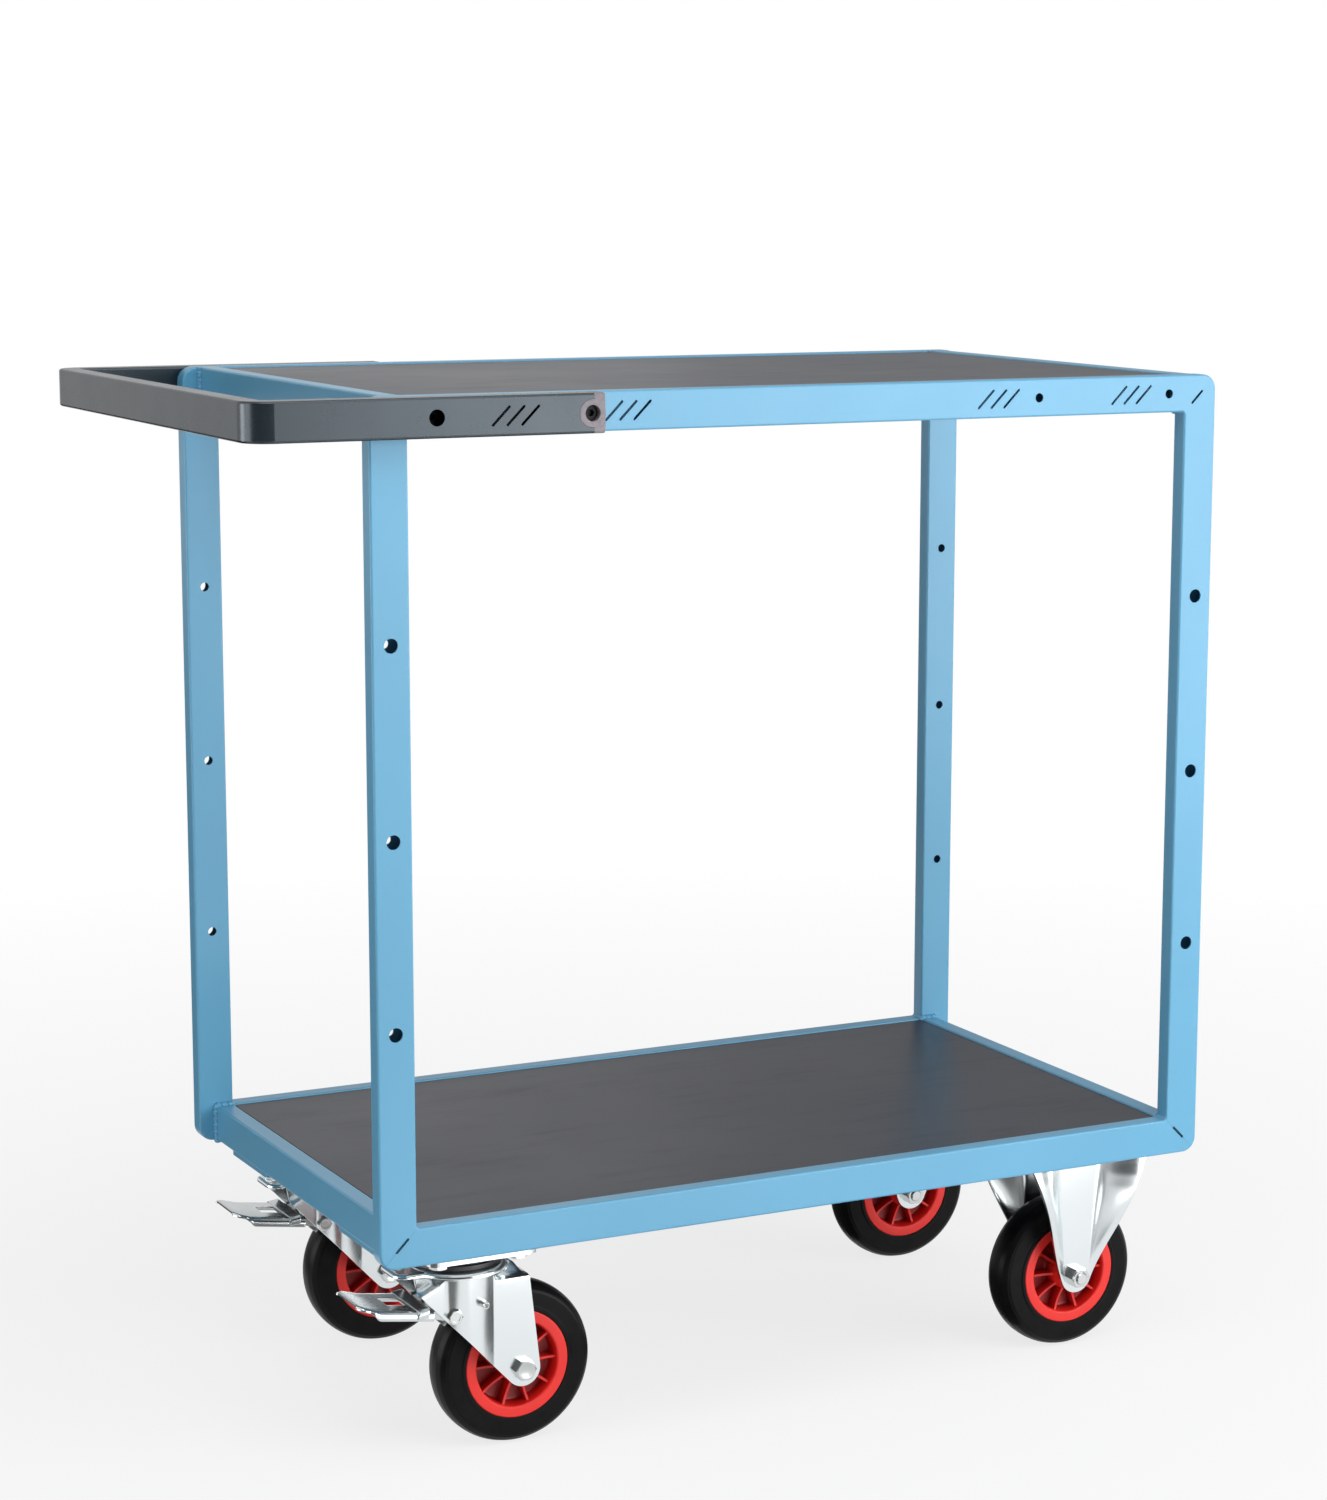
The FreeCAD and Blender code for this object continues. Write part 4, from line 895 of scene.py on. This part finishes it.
for side, sign in SIDES.items():
    piece("axle_bolt_swivel_" + side, axle_set(SWIVEL_X + TRAIL, sign * CASTER_Y, -1.0), bolt_steel,
          "swivel_" + side, ["swivel_axle_" + side, "swivel_nut_" + side], sharp=25.0)
fixed_axles = [axle_set(FIXED_X, sign * CASTER_Y, 1.0) for sign in SIDES.values()]
piece("axle_bolts_fixed", joined(*fixed_axles), bolt_steel, "chassis",
      ["fixed_axle_bolts", "fixed_axle_nuts"], sharp=25.0)
plate_bolts = []
for x, (half_x, half_y) in BOLT_SPREAD.items():
    for sign in SIDES.values():
        for dx, dy in CORNERS:
            spot = (x + dx * half_x, sign * CASTER_Y + dy * half_y, 0.0)
            plate_bolts += [hex_shell(PLATE_HEX, PLATE_BOTTOM, PLATE_BOTTOM - 6.4, spot, axis="z"),
                            hex_shell(PLATE_HEX, MOUNT_TOP, MOUNT_TOP + 8.0, spot, 2.0, 5.0, "z")]
piece("plate_bolts", joined(*plate_bolts), bolt_steel, "chassis",
      ["caster_bolts", "caster_nuts"], sharp=25.0)
print("hexagons:", 8 + len(plate_bolts))


# %% Fork pins
def spring_pin_shell(place, length, outer=3.5, inner=2.1, slot=0.18):
    """Rolled pin: a ring with chamfered ends turned about y from slot to 2 pi - slot, its ends closed."""
    wall = np.array([(inner, -length), (outer - 0.5, -length), (outer, -length + 0.8), (outer, length - 0.8),
                     (outer - 0.5, length), (inner, length)])
    t = np.linspace(slot, 2 * np.pi - slot, 48)[:, None]
    grid = np.stack([wall[:, 0] * np.cos(t), wall[:, 1] + 0 * t, wall[:, 0] * np.sin(t)], axis=-1)
    caps = [np.broadcast_to(grid[i].mean(axis=0), grid[i].shape)[None] for i in (0, -1)]
    grid = np.concatenate([caps[0], grid, caps[1]]) + np.asarray(place)
    return grid.reshape(-1, 3), quads(grid.shape[0], len(wall), False, True)


STOP_PIN = (9.88, 153.37)
PIN_SEAT, STOP_REACH = 36.4, 12.5
for side, sign in SIDES.items():
    at_pivot = (SWIVEL_X + PIVOT[0], sign * CASTER_Y, PIVOT[1])
    at_stop = (SWIVEL_X + STOP_PIN[0], sign * CASTER_Y, STOP_PIN[1])
    shank = slab(arc((at_pivot[0], at_pivot[2]), 4.0, 0.0, 2 * math.pi, 40)[:-1],
                 at_pivot[1] - PIN_SEAT, at_pivot[1] + PIN_SEAT)
    pins = joined(hex_shell(PIN_HEX, -PIN_SEAT, -PIN_SEAT - 5.5, at_pivot), shank,
                  hex_shell(PIN_HEX, PIN_SEAT, PIN_SEAT + 3.0, at_pivot),
                  spring_pin_shell(at_stop, PIN_SEAT + STOP_REACH))
    piece("fork_pin_set_" + side, pins, bolt_steel, "swivel_" + side,
          ["fork_pins_" + side], sharp=25.0)
print("points of one fork's pins:", len(pins[0]))

# %% [markdown]
# ## Welds and seams
# The cross tubes are welded to the side frames all round, and the coat follows every ripple of the
# bead. The mitred corners and the slanted joints in the legs are ground flush, so only a hairline
# shows. Both are small loops carried along a path, one with ripples and one very flat.

# %% Beads
def bead_shell(path, first, second, size, ripple=0.0, pitch=3.2, closed=True):
    """Small closed loop carried along a path: size (1 + ripple |sin(pi s / pitch)|) at length s.

    first and second span the loop's plane at each point of the path. Open paths taper to their ends.
    """
    path, first, second = np.broadcast_arrays(np.asarray(path, float), first, second)
    step = np.linalg.norm(np.diff(path, axis=0), axis=1)
    s = np.r_[0.0, np.cumsum(step)]
    swell = 1.0 + ripple * np.abs(np.sin(np.pi * s / pitch)) + 0.4 * ripple * np.sin(s * 0.9)
    if not closed:
        swell = swell * np.sqrt(smooth(np.minimum(s, s[-1] - s) / 2.0))
    t = np.linspace(0.0, 2 * np.pi, 10, endpoint=False)
    cos, sin = np.cos(t)[None, :, None], np.sin(t)[None, :, None]
    loop = cos * first[:, None] * size[0] + sin * second[:, None] * size[1]
    grid = path[:, None] + swell[:, None, None] * loop
    return grid.reshape(-1, 3), quads(len(path), len(t), closed, True)


def tube_loop(u0, u1, v0, v1, radius, spacing):
    """Closed rounded rectangle, resampled evenly, with its outward direction at each point."""
    loop = rounded([(u0, v0, radius), (u1, v0, radius), (u1, v1, radius), (u0, v1, radius)], 7)
    loop = along(np.vstack([loop, loop[:1]]), int(2 * (u1 - u0 + v1 - v0) / spacing))[:-1]
    ahead = np.roll(loop, -1, axis=0) - np.roll(loop, 1, axis=0)
    ahead /= np.linalg.norm(ahead, axis=1, keepdims=True)
    return loop, np.stack([ahead[:, 1], -ahead[:, 0]], axis=1)


FRAME_LEFT, FRAME_RIGHT, FRAME_BOTTOM, FRAME_TOP = -390.0, 510.0, 214.5, 1010.5
FACE, DEPTH, TUBE_CORNER = 36.5, 18.5, 2.0
OUTER_Y, INNER_Y = 256.5, 238.0
WELD_SIZE, WELD_RIPPLE, WELD_PITCH = (2.7, 3.2), 0.30, 3.6
beads = []
for x0 in (FRAME_LEFT + FACE - DEPTH, FRAME_RIGHT - FACE):
    for z0 in (FRAME_BOTTOM, FRAME_TOP - FACE):
        loop, out = tube_loop(x0, x0 + DEPTH, z0, z0 + FACE, TUBE_CORNER, 0.55)
        low = np.where(loop[:, 1] < FRAME_TOP - 0.4, 1.0, 0.25)[:, None]
        away = np.stack([out[:, 0], 0 * out[:, 0], out[:, 1]], axis=1) * low
        for sign in SIDES.values():
            path = np.stack([loop[:, 0], np.full(len(loop), sign * (INNER_Y - 0.5)), loop[:, 1]], axis=1)
            beads.append(bead_shell(path, away, np.array([0.0, 1.0, 0.0]), WELD_SIZE, WELD_RIPPLE,
                                    WELD_PITCH))
weld_points, weld_faces = joined(*beads)
weld_points[:, 2] = np.minimum(weld_points[:, 2], FRAME_TOP - 0.2)
piece("tube_welds", (weld_points, weld_faces), frame_paint, "chassis", sharp=60.0)
print("tube weld points:", len(weld_points))

# %% Seams
JOINT_HEIGHT, JOINT_RISE, SEAM_INSET = 160.5, 19.0, 0.04
seams = []
slope = JOINT_RISE / FACE
for x0 in (FRAME_LEFT, FRAME_RIGHT - FACE):
    for sign in SIDES.values():
        low, high = sorted((sign * INNER_Y, sign * OUTER_Y))
        loop, out = tube_loop(x0, x0 + FACE, low, high, TUBE_CORNER, 0.8)
        height = FRAME_BOTTOM + JOINT_HEIGHT + slope * (loop[:, 0] - x0 - FACE / 2)
        loop = loop - SEAM_INSET * out
        path = np.stack([loop[:, 0], loop[:, 1], height], axis=1)
        away = np.stack([out[:, 0], out[:, 1], 0 * out[:, 0]], axis=1)
        seams.append(bead_shell(path, away, np.array([0.0, 0.0, 1.0]), (0.03, 0.16)))
        for y in (low, high):
            face = 1.0 if y > 0 else -1.0
            side = 1.0 if x0 == FRAME_LEFT else -1.0
            corner = x0 if side > 0 else x0 + FACE
            t = np.linspace(4.6, FACE, 30)
            path = np.stack([corner + side * t, np.full(30, y), FRAME_BOTTOM + t], axis=1)
            across = np.array([1.0, 0.0, -side]) / math.sqrt(2.0)
            seams.append(bead_shell(path, np.array([0.0, face, 0.0]), across, (0.03, 0.12), closed=False))
piece("ground_seams", joined(*seams), seam_paint, "chassis", sharp=60.0)
print("seams:", len(seams))

# %% [markdown]
# ## Studio
# The cart stands on a plain white floor. A large low lamp to the right of the camera puts long soft
# reflections on the tubes, one above the front lights the decks, and a weak one on the left draws the
# edges. Out of the picture hang glowing sheets, and more lie on the floor, that only reflections see:
# they are painted reflections. Most are dark or grey, and a strip on the left and a sheet on the floor
# in front glow brighter than white as painted highlights. They give bare metal and gloss paint
# something to reflect, so that their shape can be read.

# %% Floor
def shown_rays(tree):
    """1 for rays that are seen, straight or through a reflection or glass, and 0 for light that is shed."""
    rays = put(tree, "LightPath").outputs
    seen = maths(tree, "MAXIMUM", rays["Is Camera Ray"], rays["Is Glossy Ray"])
    return maths(tree, "MAXIMUM", seen, rays["Is Transmission Ray"])


def show(tree, share, first, second, output):
    """Send a mix of two shaders, the first at a share of 0 and the second at 1, to an output."""
    mix = put(tree, "MixShader", {0: share, 1: first.outputs[0], 2: second.outputs[0]})
    tree.links.new(mix.outputs[0], tree.nodes[output].inputs["Surface"])


def stage_sheet(name, points, faces):
    """Mesh that belongs to the studio and not to the cart."""
    mesh = bpy.data.meshes.new(name)
    mesh.from_pydata(np.asarray(points, float).tolist(), [], np.asarray(faces).tolist())
    made = added(name, mesh)
    material = bpy.data.materials.new(name)
    material.use_nodes = True
    material.node_tree.nodes.remove(material.node_tree.nodes["Principled BSDF"])
    mesh.materials.append(material)
    made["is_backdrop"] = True
    return made, material.node_tree


def studio_floor(half=40.0):
    """White floor: it is lit, so that it keeps the shadow, and to the eye is plain white from 2.6 m on."""
    corners = [(-half, -half, 0), (half, -half, 0), (half, half, 0), (-half, half, 0)]
    floor, tree = stage_sheet("floor", corners, [(0, 1, 2, 3)])
    place = put(tree, "TexCoord").outputs["Object"]
    far = put(tree, "VectorMath", {0: place}, operation="LENGTH").outputs["Value"]
    lit = put(tree, "BsdfDiffuse", {"Color": (0.90, 0.90, 0.90, 1.0)})
    plain = put(tree, "Emission", {"Color": (1.0, 1.0, 1.0, 1.0), "Strength": 1.0})
    veil = maths(tree, "MULTIPLY", between(tree, far, 0.78, 1.0, 0.6, 2.6), shown_rays(tree))
    show(tree, veil, lit, plain, "Material Output")
    return floor


floor = studio_floor()
print("floor:", floor.name)


# %% Sheets of painted reflection
def reflected_sheet(name, grid, tone):
    """Painted reflection: a stage sheet from a grid of points that glows with one tone, seen only in
    reflections.
    """
    made, tree = stage_sheet(name, grid.reshape(-1, 3), quads(*grid.shape[:2]))
    glow = put(tree, "Emission", {"Color": (tone, tone, tone, 1.0), "Strength": 1.0})
    tree.links.new(glow.outputs[0], tree.nodes["Material Output"].inputs["Surface"])
    made.visible_camera = made.visible_diffuse = made.visible_shadow = made.visible_transmission = False


def reflection_dome_sheet(name, azimuths, elevations, tone, radius=6.5):
    """Part of a sphere: azimuth a and elevation e give radius (sin a cos e, -cos a cos e, sin e)."""
    lines = np.radians(np.linspace(*azimuths, 25)), np.radians(np.linspace(*elevations, 9))
    a, e = np.meshgrid(*lines, indexing="ij")
    points = radius * np.stack([np.sin(a) * np.cos(e), -np.cos(a) * np.cos(e), np.sin(e)], axis=-1)
    reflected_sheet(name, points, tone)


def reflection_floor_sheet(name, across, along_y, tone, height=0.004):
    """Level rectangle just above the floor, from its ranges in x and y."""
    x, y = np.meshgrid(across, along_y, indexing="ij")
    reflected_sheet(name, np.stack([x, y, height + 0 * x], axis=-1), tone)


# painted reflections: dark, grey and pale sheets round the cart, seen only in reflections
reflection_dome_sheet("dark_painted_reflection", (-80.0, 20.0), (0.0, 34.0), 0.05)
reflection_dome_sheet("grey_painted_reflection", (120.0, 153.0), (0.0, 50.0), 0.50)
reflection_dome_sheet("pale_painted_reflection", (153.0, 240.0), (0.0, 50.0), 0.80)
reflection_dome_sheet("side_painted_reflection", (64.0, 112.0), (0.0, 40.0), 0.38)
# painted highlight: a strip on the left that glows six times as bright as white, seen only in reflections
reflection_dome_sheet("left_painted_highlight_strip", (-119.0, -100.0), (-1.0, 22.0), 6.0, 3.5)
# painted reflections: dark sheets on the floor, seen only in reflections
reflection_floor_sheet("back_painted_dark_reflection", (-5.0, -0.45), (0.35, 9.0), 0.06)
reflection_floor_sheet("left_painted_dark_reflection", (-1.4, -0.46), (-1.0, -0.2), 0.10)
reflection_floor_sheet("under_painted_dark_reflection", (0.0, 0.34), (-0.43, 0.4), 0.08)
# painted highlight: a sheet on the floor in front that glows 3.4 times as bright as white, seen only in
# reflections
reflection_floor_sheet("front_painted_highlight_sheet", (-0.15, 0.85), (-1.22, -0.84), 3.4)
print("cloths and mats laid")


# %% Lamps
def softbox(name, azimuth, elevation, distance, size, power, target=(0.05, 0.0, 0.6)):
    """Rectangular lamp at an azimuth, elevation and distance from a target, facing it."""
    axes = camera_axes(azimuth, elevation, 0.0)
    lamp = bpy.data.lights.new(name, "AREA")
    lamp.shape = "RECTANGLE"
    lamp.size, lamp.size_y = size
    lamp.energy = power
    holder = added(name, lamp)
    holder.matrix_world = standing(axes, np.array(target) + distance * axes[2])


softbox("key_right", 36.0, 8.0, 3.6, (3.2, 2.2), 98.0)
softbox("top_front", -10.0, 58.0, 3.2, (2.6, 1.8), 40.0)
softbox("rim_left", -85.0, 8.0, 3.7, (1.4, 2.0), 22.0)

# %% World
world = bpy.data.worlds.new("studio_white")
world.use_nodes = True
bpy.context.scene.world = world
tree = world.node_tree
tree.nodes.remove(tree.nodes["Background"])
fill = put(tree, "Background", {"Color": (0.95, 0.98, 1.0, 1.0), "Strength": 0.30})
white = put(tree, "Background", {"Color": (1.0, 1.0, 1.0, 1.0), "Strength": 1.0})
show(tree, shown_rays(tree), fill, white, "World Output")
bpy.context.scene.view_settings.view_transform = "Standard"
print("world:", world.name)

# %% [markdown]
# ## Size of the dressed cart
# The box of the dressed cart is worked out from every shown piece that is not part of the studio.

# %% Size of the dressed cart
low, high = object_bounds()
